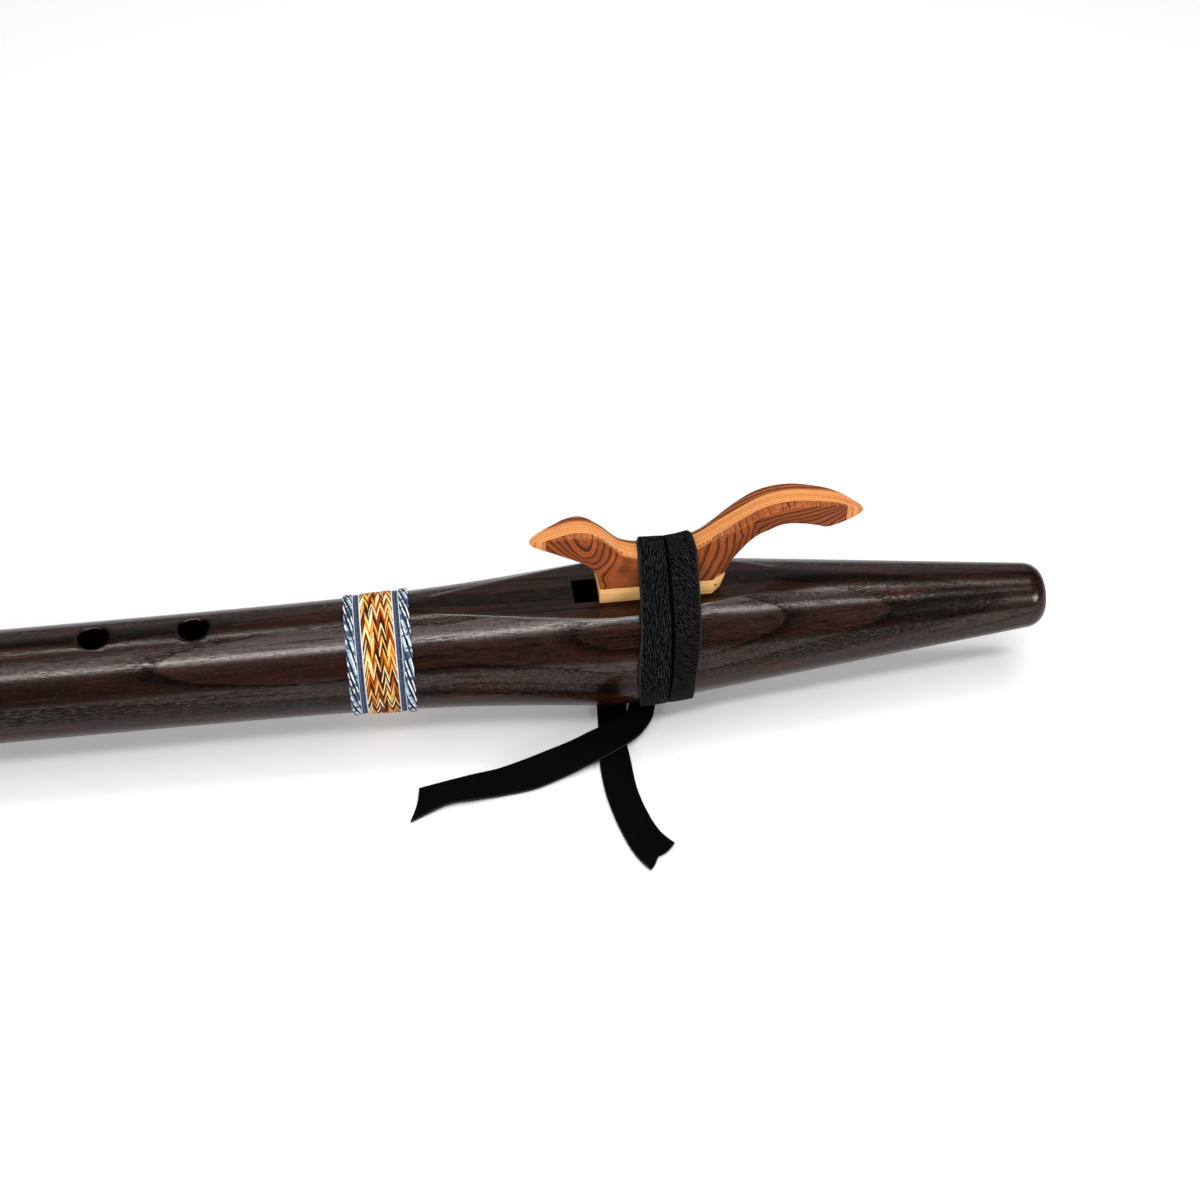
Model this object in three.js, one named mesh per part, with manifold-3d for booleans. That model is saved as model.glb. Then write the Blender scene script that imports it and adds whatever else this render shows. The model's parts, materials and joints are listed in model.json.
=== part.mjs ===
// Native American flute: a body glued from two hollowed halves, a carved bird tied on the body
// with a leather strap, and a woven band round the sound chamber.
// Units are millimetres. +X runs from the foot to the mouth end and +Z is up.
// Inside the flute group, x = 0 is the cutting edge of the sound hole and z = 0 the body's axis.
// The finished group stands with z = 0 under the strap's knot, at the middle of its length.

import * as THREE from 'three';
import { mergeVertices } from 'three/addons/utils/BufferGeometryUtils.js';
import Module from 'manifold-3d';

const wasm = await Module();
wasm.setup();

// Body, driving dimensions
const footReach = 315;
const headReach = 141;
const chamberRadius = 16;
const chamberBoreRadius = 11;
const bellyRadius = 21.05;
const bellyPlace = 10;
const swellReach = 41;
const swellPower = 1.4;
const swellSpanShare = 3;
const mouthRadius = 8.9;
const coneRiseShare = 1.1;
const mouthRounding = 4.5;
const footRounding = 1;
const nestHeight = 17;

// Air ways
const soundHoleLength = 6.5;
const soundHoleWidth = 9.2;
const edgeThickness = 1.2;
const rampLength = 14;
const plugLength = 12.5;
const exitHoleLength = 7;
const slowWall = 5;
const nestFloor = 3;
const slowEndTaper = 7;
const mouthBlockLength = 14;
const blowHoleRadius = 3.2;

// Finger holes, counted from the one nearest the bird
const fingerHoleCount = 6;
const fingerHoleRadius = 4.2;
const fingerHoleReach = 107;
const fingerHoleSpacing = 27.5;
const ringFingerGap = 4;
const handGap = 2.5;

// Bird: a core between two side layers, glued on a base plate
const birdLength = 94.6;
const birdRise = 23.6;
const birdWidth = 12.4;
const birdCoreThickness = 5;
const birdTipReach = 12.4;
const birdShoulderFade = 13;
const birdBackBand = 1;
const rearNarrowing = 2.6;
const baseFront = 6.7;
const baseLength = 36.2;
const baseTailLength = 4;
const baseRearLean = 1.5;
const baseThickness = 5;
const flueDepth = 1.2;

// Leather strap, its knot and its two loose tails
const strapWidth = 8.3;
const strapThickness = 1;
const strapPitch = 8.8;
const strapTurns = 2;
const strapStart = 18.5;
const strapSeatGap = 0.45;
const strapBackGap = 0.3;
const strapEdgeShare = 0.06;
const knotFront = 5.2;
const knotLength = 32;
const knotWidth = 14;
const knotThickness = 2.75;
const knotNearReach = 5;
const knotFlatShare = 0.62;

// Woven band, from its edge that faces the foot
const bandPlace = -65.2;
const bandGap = 0.2;
const edgeCordWidth = 2.6;
const edgeCordThickness = 0.8;
const threadWidth = 0.5;
const threadThickness = 0.5;
const cordRoundShare = 1 / 3;
const stripWidth = 1.3;
const stripThickness = 0.4;
const braidWidth = 7;
const braidThickness = 0.6;

// Clearances and fineness
const seatGap = 0.3;
const overrun = 2;
const roundSegments = 48;
const holeSegments = 24;
const swellSteps = 14;
const crownSteps = 5;
const coneSteps = 4;
const roundingSteps = 5;
const slowSteps = 6;
const shoulderSteps = 4;
const beltSteps = 8;
const cornerSteps = 3;
const backSteps = 2;
const tailStepsPerRow = 3;
const gapSamples = 20;

// Outline of the bird seen from the side, as [share of its length, share of its rise]
const birdFrontShares = [[0.203, 0.1], [0.196, 0.21], [0.18, 0.314], [0.141, 0.428],
  [0.08, 0.517], [0.02, 0.564]];
const birdHeadTopShares = [[0, 0.61], [0.018, 0.672], [0.046, 0.706], [0.078, 0.737],
  [0.105, 0.771], [0.131, 0.788], [0.157, 0.784], [0.183, 0.754], [0.209, 0.686],
  [0.225, 0.627], [0.241, 0.559], [0.257, 0.487], [0.276, 0.424], [0.297, 0.388],
  [0.32, 0.365]];
const birdBackTopShares = [[0.37, 0.347], [0.42, 0.348], [0.46, 0.372], [0.498, 0.432], [0.524, 0.495],
  [0.555, 0.584], [0.593, 0.69], [0.618, 0.762], [0.646, 0.835], [0.674, 0.903], [0.705, 0.954],
  [0.741, 0.987], [0.784, 1], [0.831, 0.979], [0.886, 0.942], [0.923, 0.898], [0.955, 0.835],
  [0.98, 0.77]];
const birdTailUnderShares = [[1, 0.71], [0.97, 0.655], [0.924, 0.625], [0.88, 0.618], [0.851, 0.661],
  [0.814, 0.699], [0.778, 0.716], [0.742, 0.7], [0.706, 0.627], [0.674, 0.555], [0.647, 0.453],
  [0.627, 0.347], [0.609, 0.25], [0.596, 0.153], [0.583, 0.047]];
const birdFootShares = [[0.576, 0], [0.202, 0]];

// Half of the bird's outline seen from above, as [share of its length, share of its half width]
const birdPlanShares = [[0, 0.05], [0.018, 0.16], [0.046, 0.42], [0.072, 0.57], [0.1, 0.7],
  [0.125, 0.78], [0.152, 0.86], [0.184, 0.94], [0.215, 1], [0.6, 1], [0.66, 0.985],
  [0.745, 0.93], [0.807, 0.86], [0.849, 0.79], [0.88, 0.7], [0.915, 0.56], [0.95, 0.4],
  [0.975, 0.23], [1, 0.05]];

// Facets that take the rear corners off the bird's side layers. Each section runs from the side
// to the underside, as [share of its length, share of its rise, share of the narrowing there].
const rearFacetShares = [
  [[0.542, -0.05, 0], [0.586, -0.05, 1]],
  [[0.616, 0.636, 0], [0.681, 0.572, 0.85]],
  [[0.76, 0.91, 0], [0.78, 0.716, 0.45]],
];

// Stretch of the bird's length over which its back is fully rounded toward both sides
const birdSaddleShares = [0.216, 0.51];

// Section of a lace tail, as [share of its half width, share of its half thickness]
const laceSectionShares = [[-1, -0.5], [-0.94, -1], [0.94, -1], [1, -0.5], [1, 0.5], [0.94, 1],
  [-0.94, 1], [-1, 0.5]];

// Routes of the loose tails on the table: x from the cutting edge, z from the table.
// Each row holds the lace's far edge and near edge, taken at the middle of its thickness.
const leftTailRoute = [
  [[15.6, -5.3, 1.4], [23.6, -5.3, 1.2]],
  [[14.4, -9.8, 2.6], [21.7, -12.2, 1.2]],
  [[12.2, -12.6, 3.1], [18.2, -18.0, 1.6]],
  [[8.3, -15.4, 3.7], [14.2, -22.4, 2.5]],
  [[2.6, -18.6, 4.3], [7.6, -26.8, 2.7]],
  [[-4.0, -21.8, 4.2], [0.6, -30.3, 2.5]],
  [[-11.0, -24.4, 4.0], [-7.0, -33.0, 1.3]],
  [[-18.0, -26.1, 2.8], [-15.6, -36.0, 0.9]],
  [[-25.5, -27.5, 1.6], [-24.2, -37.3, 0.9]],
  [[-33.0, -28.4, 1.1], [-33.0, -38.5, 1.5]],
  [[-41.0, -29.9, 0.9], [-41.2, -39.4, 1.6]],
  [[-48.3, -31.4, 0.8], [-51.5, -43.8, 0.8]],
];
const rightTailRoute = [
  [[5.9, -5.3, 0.8], [15.0, -5.3, 0.8]],
  [[4.9, -17.5, 0.8], [12.8, -17.5, 0.8]],
  [[3.8, -28.5, 0.8], [12.9, -28.5, 0.8]],
  [[3.9, -39.0, 0.8], [13.2, -39.5, 0.8]],
  [[5.2, -49.0, 0.8], [14.9, -49.0, 0.8]],
  [[7.2, -58.0, 0.8], [17.0, -55.5, 0.8]],
  [[9.5, -64.5, 0.8], [19.0, -59.2, 1.2]],
  [[12.4, -69.4, 0.9], [20.4, -61.3, 1.6]],
];

// Values worked out from the driving dimensions
const coneSlope = (coneRiseShare * (bellyRadius - mouthRadius)) / (headReach - bellyPlace);
const crownReach = (2 * (coneRiseShare - 1) * (bellyRadius - mouthRadius)) / coneSlope;
const plugEnd = soundHoleLength + plugLength;
const baseBottom = nestHeight + seatGap;
const birdFoot = baseBottom + baseThickness;
const birdHalfWidth = birdWidth / 2;
const coreHalf = birdCoreThickness / 2;
const sideThickness = birdHalfWidth - coreHalf;
const laceDrop = strapSeatGap + strapThickness + seatGap;
const tableDrop = outerRadius(strapStart) + laceDrop + knotThickness;
const flutePlace = (footReach - headReach) / 2;

// Radius of the body's outside at a place along it
function outerRadius(x) {
  if (x < bellyPlace) {
    const fade = Math.exp(-Math.pow((bellyPlace - x) / swellReach, swellPower));
    return chamberRadius + (bellyRadius - chamberRadius) * fade;
  }
  const past = x - bellyPlace;
  if (past < crownReach) {
    return bellyRadius - (coneSlope * past * past) / (2 * crownReach);
  }
  return mouthRadius + coneSlope * (headReach - x);
}

function steps(from, to, count) {
  return Array.from({ length: count + 1 }, (_, i) => from + ((to - from) * i) / count);
}

// A closed geometry as a solid, with its faces turned outward
function solidOf(geometry) {
  const bare = geometry.clone();
  bare.deleteAttribute('normal');
  bare.deleteAttribute('uv');
  const merged = mergeVertices(bare);
  const index = Uint32Array.from(merged.index.array);
  const place = merged.attributes.position;
  let volume = 0;
  const corner = [new THREE.Vector3(), new THREE.Vector3(), new THREE.Vector3()];
  for (let i = 0; i < index.length; i += 3) {
    corner.forEach((point, k) => point.fromBufferAttribute(place, index[i + k]));
    volume += corner[0].dot(corner[1].clone().cross(corner[2]));
  }
  if (volume < 0) {
    for (let i = 0; i < index.length; i += 3) {
      [index[i], index[i + 1]] = [index[i + 1], index[i]];
    }
  }
  const mesh = new wasm.Mesh({
    numProp: 3,
    vertProperties: Float32Array.from(place.array),
    triVerts: index,
  });
  return new wasm.Manifold(mesh);
}

function geometryOf(solid) {
  const mesh = solid.getMesh();
  const geometry = new THREE.BufferGeometry();
  geometry.setAttribute('position', new THREE.BufferAttribute(mesh.vertProperties, 3));
  geometry.setIndex(new THREE.BufferAttribute(mesh.triVerts, 1));
  const faceted = geometry.toNonIndexed();
  faceted.computeVertexNormals();
  return faceted;
}

// A turned solid whose axis is the body's: the profile holds [x, radius] pairs
function turned(profile, segments) {
  const points = profile.map(([x, radius]) => new THREE.Vector2(radius, x));
  return new THREE.LatheGeometry(points, segments).rotateZ(-Math.PI / 2);
}

function block(x0, x1, width, z0, z1) {
  const box = new THREE.BoxGeometry(x1 - x0, width, z1 - z0);
  return box.translate((x0 + x1) / 2, 0, (z0 + z1) / 2);
}

// A side outline in x and z, extruded over y0 to y1
function sidePlate(shape, y0, y1, fineness) {
  const plate = new THREE.ExtrudeGeometry(shape, {
    depth: y1 - y0, bevelEnabled: false, curveSegments: fineness,
  });
  return plate.rotateX(Math.PI / 2).translate(0, y1, 0);
}

// Body
function bodyOutside() {
  const profile = [[-footReach, 0], [-footReach, chamberRadius - footRounding],
    [-footReach + footRounding, chamberRadius]];
  for (const x of steps(bellyPlace - swellSpanShare * swellReach, bellyPlace, swellSteps)) {
    profile.push([x, outerRadius(x)]);
  }
  for (const x of steps(bellyPlace, bellyPlace + crownReach, crownSteps).slice(1)) {
    profile.push([x, outerRadius(x)]);
  }
  const roundStart = headReach - mouthRounding;
  for (const x of steps(bellyPlace + crownReach, roundStart, coneSteps).slice(1)) {
    profile.push([x, outerRadius(x)]);
  }
  const roundRadius = outerRadius(roundStart);
  for (const angle of steps(0, Math.PI / 2, roundingSteps).slice(1)) {
    profile.push([
      roundStart + mouthRounding * Math.sin(angle),
      roundRadius - mouthRounding * (1 - Math.cos(angle)),
    ]);
  }
  profile.push([headReach, 0]);
  return solidOf(turned(profile, roundSegments));
}

function slowChamberRadius(x) {
  return Math.min(outerRadius(x) - slowWall, nestHeight - nestFloor);
}

function slowChamber() {
  const end = headReach - mouthBlockLength;
  const profile = [[plugEnd, 0]];
  for (const x of steps(plugEnd, end - slowEndTaper, slowSteps)) {
    profile.push([x, slowChamberRadius(x)]);
  }
  profile.push([end, blowHoleRadius], [end, 0]);
  return solidOf(turned(profile, roundSegments));
}

function bore(x0, x1, radius, segments) {
  return solidOf(turned([[x0, 0], [x0, radius], [x1, radius], [x1, 0]], segments));
}

function cuttingEdgeRamp() {
  const shape = new THREE.Shape();
  const low = chamberBoreRadius - overrun;
  shape.moveTo(0, low);
  shape.lineTo(0, nestHeight - edgeThickness);
  shape.lineTo(-rampLength, low);
  shape.closePath();
  return solidOf(sidePlate(shape, -soundHoleWidth / 2, soundHoleWidth / 2, 1));
}

function fingerHolePlaces() {
  const places = [];
  const perHand = fingerHoleCount / 2;
  for (let i = 0; i < fingerHoleCount; i += 1) {
    const ringFingers = Math.floor((i + 1) / perHand);
    const hands = Math.floor(i / perHand);
    places.push(-(fingerHoleReach + i * fingerHoleSpacing + ringFingers * ringFingerGap
      + hands * handGap));
  }
  return places;
}

function fingerHole(x) {
  const low = chamberBoreRadius - overrun * 2;
  const high = chamberRadius + overrun;
  const hole = new THREE.CylinderGeometry(fingerHoleRadius, fingerHoleRadius, high - low, holeSegments);
  return solidOf(hole.rotateX(Math.PI / 2).translate(x, 0, (low + high) / 2));
}

function wholeBody() {
  let body = bodyOutside();
  const top = bellyRadius + overrun;
  const cuts = [
    solidOf(block(-footReach, headReach, 2 * bellyRadius, nestHeight, top)),
    bore(-footReach - overrun, soundHoleLength, chamberBoreRadius, roundSegments),
    slowChamber(),
    bore(plugEnd + overrun, headReach + overrun, blowHoleRadius, holeSegments),
    solidOf(block(0, soundHoleLength, soundHoleWidth, chamberBoreRadius - overrun, top)),
    solidOf(block(plugEnd, plugEnd + exitHoleLength, soundHoleWidth, nestFloor, top)),
    cuttingEdgeRamp(),
    ...fingerHolePlaces().map(fingerHole),
  ];
  for (const cut of cuts) {
    body = body.subtract(cut);
  }
  return body;
}

function bodyHalves() {
  const body = wholeBody();
  const reach = bellyRadius + overrun;
  const above = solidOf(block(-footReach - overrun, headReach + overrun, 2 * reach, 0, reach));
  const below = solidOf(block(-footReach - overrun, headReach + overrun, 2 * reach, -reach, 0));
  return [geometryOf(body.intersect(above)), geometryOf(body.intersect(below))];
}

// Bird
function birdPoint([along, up]) {
  return new THREE.Vector2(along * birdLength - birdTipReach, birdFoot + up * birdRise);
}

function birdSideShape() {
  const shape = new THREE.Shape();
  const foot = birdFootShares.map(birdPoint);
  shape.moveTo(foot[1].x, foot[1].y);
  shape.splineThru([...birdFrontShares, ...birdHeadTopShares.slice(0, 1)].map(birdPoint));
  shape.splineThru([...birdHeadTopShares.slice(1), ...birdBackTopShares,
    ...birdTailUnderShares.slice(0, 1)].map(birdPoint));
  shape.splineThru(birdTailUnderShares.slice(1).map(birdPoint));
  shape.lineTo(foot[0].x, foot[0].y);
  shape.closePath();
  return shape;
}

function birdPlan() {
  const near = birdPlanShares.map(([along, out]) => new THREE.Vector2(
    along * birdLength - birdTipReach, out * birdHalfWidth,
  ));
  const far = near.map((point) => new THREE.Vector2(point.x, -point.y)).reverse();
  const plan = new THREE.ExtrudeGeometry(new THREE.Shape([...near, ...far]), {
    depth: birdRise + 2 * overrun, bevelEnabled: false,
  });
  return solidOf(plan.translate(0, 0, birdFoot - overrun));
}

function birdCore() {
  const plate = solidOf(sidePlate(birdSideShape(), -coreHalf, coreHalf, 1));
  return geometryOf(plate.intersect(birdPlan()));
}

// Height of the bird's back
function backHeight(x) {
  const back = [...birdHeadTopShares, ...birdBackTopShares].map(birdPoint);
  const within = THREE.MathUtils.clamp(x, back[0].x, back.at(-1).x);
  const next = Math.max(back.findIndex((point) => point.x >= within), 1);
  const [a, b] = [back[next - 1], back[next]];
  return a.y + ((b.y - a.y) * (within - a.x)) / (b.x - a.x);
}

// Rounding of the back over a side layer: whole in the saddle, fading out to head and tail
function shoulderShare(x) {
  const [start, end] = birdSaddleShares.map((share) => birdPoint([share, 0]).x);
  const away = Math.max(start - x, x - end, 0) / birdShoulderFade;
  return Math.exp(-away * away);
}

// One stretch of a rear facet, between two of its sections, as the wedge to be cut away
function rearWedge(side, sections) {
  const corners = sections.flatMap((section) => {
    const [onSide, under] = section.map(([along, up, inward]) => {
      const point = birdPoint([along, up]);
      return new THREE.Vector3(point.x, birdHalfWidth - inward * rearNarrowing, point.y);
    });
    const past = under.clone().sub(onSide);
    return [onSide.clone().sub(past), under.clone().add(past),
      new THREE.Vector3(under.x + overrun, birdHalfWidth + overrun, under.z - overrun)];
  });
  return wasm.Manifold.hull(corners.map(({ x, y, z }) => [x, side * y, z]));
}

function birdSideLayer(side) {
  const plate = new THREE.ExtrudeGeometry(birdSideShape(), {
    depth: 1, steps: shoulderSteps, bevelEnabled: false, curveSegments: 1,
  });
  const place = plate.attributes.position;
  for (let i = 0; i < place.count; i += 1) {
    const turn = (place.getZ(i) * Math.PI) / 2;
    const [x, z] = [place.getX(i), place.getY(i)];
    const onBack = z > backHeight(x) - birdBackBand;
    const drop = onBack ? shoulderShare(x) * sideThickness * (1 - Math.cos(turn)) : 0;
    place.setXYZ(i, x, side * (coreHalf + sideThickness * Math.sin(turn)), z - drop);
  }
  const layer = solidOf(plate).intersect(birdPlan());
  const [root, middle, end] = rearFacetShares;
  return geometryOf(layer.subtract(rearWedge(side, [root, middle]))
    .subtract(rearWedge(side, [middle, end])));
}

function basePlate() {
  const corners = [[baseBottom, baseLength - baseRearLean], [birdFoot, baseLength]];
  const plate = wasm.Manifold.hull(corners.flatMap(([z, length]) => [
    [0, birdHalfWidth], [length - baseTailLength, birdHalfWidth],
    [length, birdHalfWidth - rearNarrowing],
  ].flatMap(([along, y]) => [[baseFront + along, y, z], [baseFront + along, -y, z]])));
  const flueEnd = plugEnd + exitHoleLength;
  const flue = block(baseFront - overrun, flueEnd, soundHoleWidth, baseBottom - overrun,
    baseBottom + flueDepth);
  return geometryOf(plate.subtract(solidOf(flue)));
}

// Strap: one flat band wound round body and bird. A turn starts under the belly, rises on the
// near side, crosses the bird's back and comes down on the far side.
// Height of the bird's back that the strap's whole width clears
function strapSeat(x) {
  const edges = backHeight(x - strapWidth / 2) + backHeight(x + strapWidth / 2);
  return Math.max(backHeight(x), edges / 2);
}

// Normal angles of one turn's stations, from the top, and what each lies on
function turnStations(x) {
  const cornerZ = strapSeat(x) - sideThickness;
  const lean = Math.atan2(coreHalf, cornerZ);
  const reach = Math.hypot(coreHalf, cornerZ);
  const tangent = lean + Math.acos((outerRadius(x) - sideThickness) / reach);
  const near = [
    ...steps(Math.PI, tangent, beltSteps).map((angle) => ({ angle, on: 'body' })),
    ...steps(tangent, 0, cornerSteps).map((angle) => ({ angle, on: 'corner' })),
  ];
  const back = steps(1, -1, backSteps).slice(1, -1).map((side) => ({ angle: 0, on: 'back', side }));
  const far = near.map((station) => ({ ...station, angle: -station.angle })).reverse();
  return [...near, ...back, ...far];
}

// Centre and outward normal of the strap at a station, in the plane across the body
function strapPlace(station, index, stations, x) {
  const side = index < stations.length / 2 ? -1 : 1;
  const angle = Math.abs(station.angle);
  const normal = new THREE.Vector3(0, side * Math.sin(angle), Math.cos(angle));
  const half = strapThickness / 2;
  if (station.on === 'body') {
    const centre = normal.clone().multiplyScalar(outerRadius(x) + strapSeatGap + half);
    return { centre, normal };
  }
  const across = coreHalf * (station.on === 'back' ? station.side : 1);
  const corner = new THREE.Vector3(0, side * across, strapSeat(x) - sideThickness);
  const centre = corner.addScaledVector(normal, sideThickness + strapBackGap + half);
  return { centre, normal };
}

// Steepness of what the strap lies on, along x
function seatSlope(station, x) {
  const [before, after] = [x - strapWidth / 2, x + strapWidth / 2];
  const bodySlope = (outerRadius(after) - outerRadius(before)) / strapWidth;
  if (station.on === 'body') {
    return bodySlope;
  }
  const backSlope = (backHeight(after) - backHeight(before)) / strapWidth;
  const share = Math.cos(station.angle);
  return share * backSlope;
}

function strapRings() {
  const rings = [];
  for (let turn = 0; turn < strapTurns; turn += 1) {
    const middle = strapStart + (turn + 0.5) * strapPitch;
    const stations = turnStations(middle);
    let travelled = 0;
    const places = stations.map((station, i) => strapPlace(station, i, stations, middle));
    const travel = places.map(({ centre }, i) => {
      travelled += i ? centre.distanceTo(places[i - 1].centre) : 0;
      return travelled;
    });
    stations.forEach((station, i) => {
      if (turn > 0 && i === 0) {
        return;
      }
      const x = strapStart + (turn + travel[i] / travelled) * strapPitch;
      const { centre, normal } = strapPlace(station, i, stations, x);
      const along = new THREE.Vector3(1, 0, 0).addScaledVector(normal, seatSlope(station, x));
      along.normalize();
      const out = normal.clone().addScaledVector(along, -normal.dot(along)).normalize();
      rings.push({ centre: centre.setX(x), along, out });
    });
  }
  return rings;
}

// A band of six-sided section through the rings, closed at both ends
function strapGeometry(rings) {
  const half = strapWidth / 2;
  const section = [[-1, 0], [strapEdgeShare * 2 - 1, -1], [1 - strapEdgeShare * 2, -1], [1, 0],
    [1 - strapEdgeShare * 2, 1], [strapEdgeShare * 2 - 1, 1]];
  const band = new THREE.ExtrudeGeometry(
    new THREE.Shape(section.map(([u, v]) => new THREE.Vector2(u, v))),
    { depth: 1, steps: rings.length - 1, bevelEnabled: false },
  );
  const place = band.attributes.position;
  for (let i = 0; i < place.count; i += 1) {
    const ring = rings[Math.round(place.getZ(i) * (rings.length - 1))];
    const point = ring.centre.clone();
    point.addScaledVector(ring.along, place.getX(i) * half);
    point.addScaledVector(ring.out, (place.getY(i) * strapThickness) / 2);
    place.setXYZ(i, point.x, point.y, point.z);
  }
  return geometryOf(solidOf(band));
}

// Least gap between the strap's two turns, measured on points of their facing edges
function leastStrapGap(rings) {
  const perTurn = (rings.length - 1) / strapTurns;
  const edges = (sign) => rings.map((ring) => (
    ring.centre.clone().addScaledVector(ring.along, (sign * strapWidth) / 2)
  ));
  const [front, rear] = [edges(-1), edges(1)];
  let least = Infinity;
  for (let i = 0; i + perTurn < rings.length; i += 1) {
    for (const j of steps(-1, 1, gapSamples)) {
      const k = Math.min(Math.max(i + perTurn + j, 0), rings.length - 1);
      const low = Math.floor(k);
      const high = Math.ceil(k);
      const point = front[low].clone().lerp(front[high], k - low);
      least = Math.min(least, point.distanceTo(rear[i]));
    }
  }
  return least;
}

// Knot: a flat lump under the belly, round in plan, with a plane underside that carries the flute
function strapKnot() {
  const end = knotFront + knotLength;
  const shape = new THREE.Shape();
  shape.moveTo(knotFront, -tableDrop);
  shape.lineTo(knotFront + knotFlatShare * knotLength, -tableDrop);
  shape.lineTo(end, -(outerRadius(end) + laceDrop + knotThickness / 2));
  for (const x of steps(end, knotFront, beltSteps)) {
    shape.lineTo(x, -(outerRadius(x) + laceDrop));
  }
  shape.closePath();
  const lump = solidOf(sidePlate(shape, -knotNearReach, knotWidth - knotNearReach, 1));
  const plan = new THREE.Shape();
  const corner = knotWidth / 2;
  const middle = corner - knotNearReach;
  plan.moveTo(knotFront, -knotNearReach);
  plan.lineTo(end - corner, -knotNearReach);
  plan.absarc(end - corner, middle, corner, -Math.PI / 2, Math.PI / 2);
  plan.lineTo(knotFront, middle + corner);
  plan.closePath();
  const outline = new THREE.ExtrudeGeometry(plan, {
    depth: tableDrop, bevelEnabled: false, curveSegments: roundingSteps,
  });
  return geometryOf(lump.intersect(solidOf(outline.translate(0, 0, -tableDrop - overrun))));
}

// Loose tail: the lace's section swept between its two hand-laid edges
function laceTail(route) {
  const edge = (k) => new THREE.CatmullRomCurve3(route.map((row) => new THREE.Vector3(...row[k])));
  const [far, near] = [edge(0), edge(1)];
  const count = (route.length - 1) * tailStepsPerRow;
  const section = laceSectionShares.map(([u, v]) => new THREE.Vector2(u, v));
  const lace = new THREE.ExtrudeGeometry(new THREE.Shape(section), {
    depth: 1, steps: count, bevelEnabled: false,
  });
  const place = lace.attributes.position;
  for (let i = 0; i < place.count; i += 1) {
    const t = Math.round(place.getZ(i) * count) / count;
    const [a, b] = [far.getPoint(t), near.getPoint(t)];
    const heading = far.getTangent(t).add(near.getTangent(t)).normalize();
    const half = b.clone().sub(a).multiplyScalar(1 / 2);
    const up = heading.clone().cross(half).normalize();
    up.multiplyScalar(Math.sign(up.z) * (strapThickness / 2) * place.getY(i));
    const point = a.clone().add(b).multiplyScalar(1 / 2);
    point.addScaledVector(half, place.getX(i)).add(up);
    place.setXYZ(i, point.x, point.y, point.z);
  }
  return geometryOf(solidOf(lace));
}

// Band: closed rings side by side on the body
function bandRing(x0, width, thickness, round) {
  const [x1, seat] = [x0 + width, seatGap];
  const corner = round ? Math.min(width, thickness) * cordRoundShare : 0;
  const profile = [[x0, outerRadius(x0) + seat], [x1, outerRadius(x1) + seat]];
  if (round) {
    profile.push([x1, outerRadius(x1) + seat + thickness - corner]);
    profile.push([x1 - corner, outerRadius(x1) + seat + thickness]);
    profile.push([x0 + corner, outerRadius(x0) + seat + thickness]);
    profile.push([x0, outerRadius(x0) + seat + thickness - corner]);
  } else {
    profile.push([x1, outerRadius(x1) + seat + thickness]);
    profile.push([x0, outerRadius(x0) + seat + thickness]);
  }
  profile.push(profile[0]);
  return geometryOf(solidOf(turned(profile, roundSegments)));
}

// Colours and surfaces
const walnut = { color: '#33241e', roughness: 0.35, metalness: 0 };
const redCedar = { color: '#8f4f2c', roughness: 0.5, metalness: 0 };
const paleCedar = { color: '#dd9657', roughness: 0.5, metalness: 0 };
const darkCedar = { color: '#5d3323', roughness: 0.5, metalness: 0 };
const paleWood = { color: '#dba46a', roughness: 0.5, metalness: 0 };
const leather = { color: '#17171a', roughness: 0.75, metalness: 0 };
const suede = { color: '#0c0b0c', roughness: 0.95, metalness: 0 };
const blueCord = { color: '#7c96ae', roughness: 0.6, metalness: 0 };
const whiteThread = { color: '#d9dde0', roughness: 0.7, metalness: 0 };
const navyThread = { color: '#39425f', roughness: 0.7, metalness: 0 };
const orangeBraid = { color: '#b96f2a', roughness: 0.7, metalness: 0 };

function piece(name, geometry, finish) {
  const mesh = new THREE.Mesh(geometry, new THREE.MeshStandardMaterial(finish));
  mesh.name = name;
  return mesh;
}

const bandPieces = [
  ['band_cord_left', edgeCordWidth, edgeCordThickness, true, blueCord],
  ['band_thread_outer_left', threadWidth, threadThickness, false, whiteThread],
  ['band_strip_left', stripWidth, stripThickness, false, navyThread],
  ['band_thread_inner_left', threadWidth, threadThickness, false, whiteThread],
  ['band_braid', braidWidth, braidThickness, false, orangeBraid],
  ['band_thread_inner_right', threadWidth, threadThickness, false, whiteThread],
  ['band_strip_right', stripWidth, stripThickness, false, navyThread],
  ['band_thread_outer_right', threadWidth, threadThickness, false, whiteThread],
  ['band_cord_right', edgeCordWidth, edgeCordThickness, true, blueCord],
];

function band() {
  const group = new THREE.Group();
  let x = bandPlace;
  for (const [name, width, thickness, round, finish] of bandPieces) {
    group.add(piece(name, bandRing(x, width, thickness, round), { ...finish }));
    x += width + bandGap;
  }
  return group;
}

function bird() {
  const group = new THREE.Group();
  group.add(piece('bird_near_layer', birdSideLayer(-1), redCedar));
  group.add(piece('bird_core_layer', birdCore(), paleCedar));
  group.add(piece('bird_far_layer', birdSideLayer(1), darkCedar));
  group.add(piece('bird_base_plate', basePlate(), paleWood));
  return group;
}

const rings = strapRings();
console.log(`strap: ${rings.length} rings, least gap between turns ${leastStrapGap(rings).toFixed(2)} mm`);

const flute = new THREE.Group();
const [upperHalf, lowerHalf] = bodyHalves();
flute.add(piece('body_upper_half', upperHalf, walnut));
flute.add(piece('body_lower_half', lowerHalf, { ...walnut }));
flute.add(bird(), band());
flute.add(piece('strap_wrap', strapGeometry(rings), leather));
flute.add(piece('strap_knot', strapKnot(), { ...leather }));
flute.position.set(flutePlace, 0, tableDrop);

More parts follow.
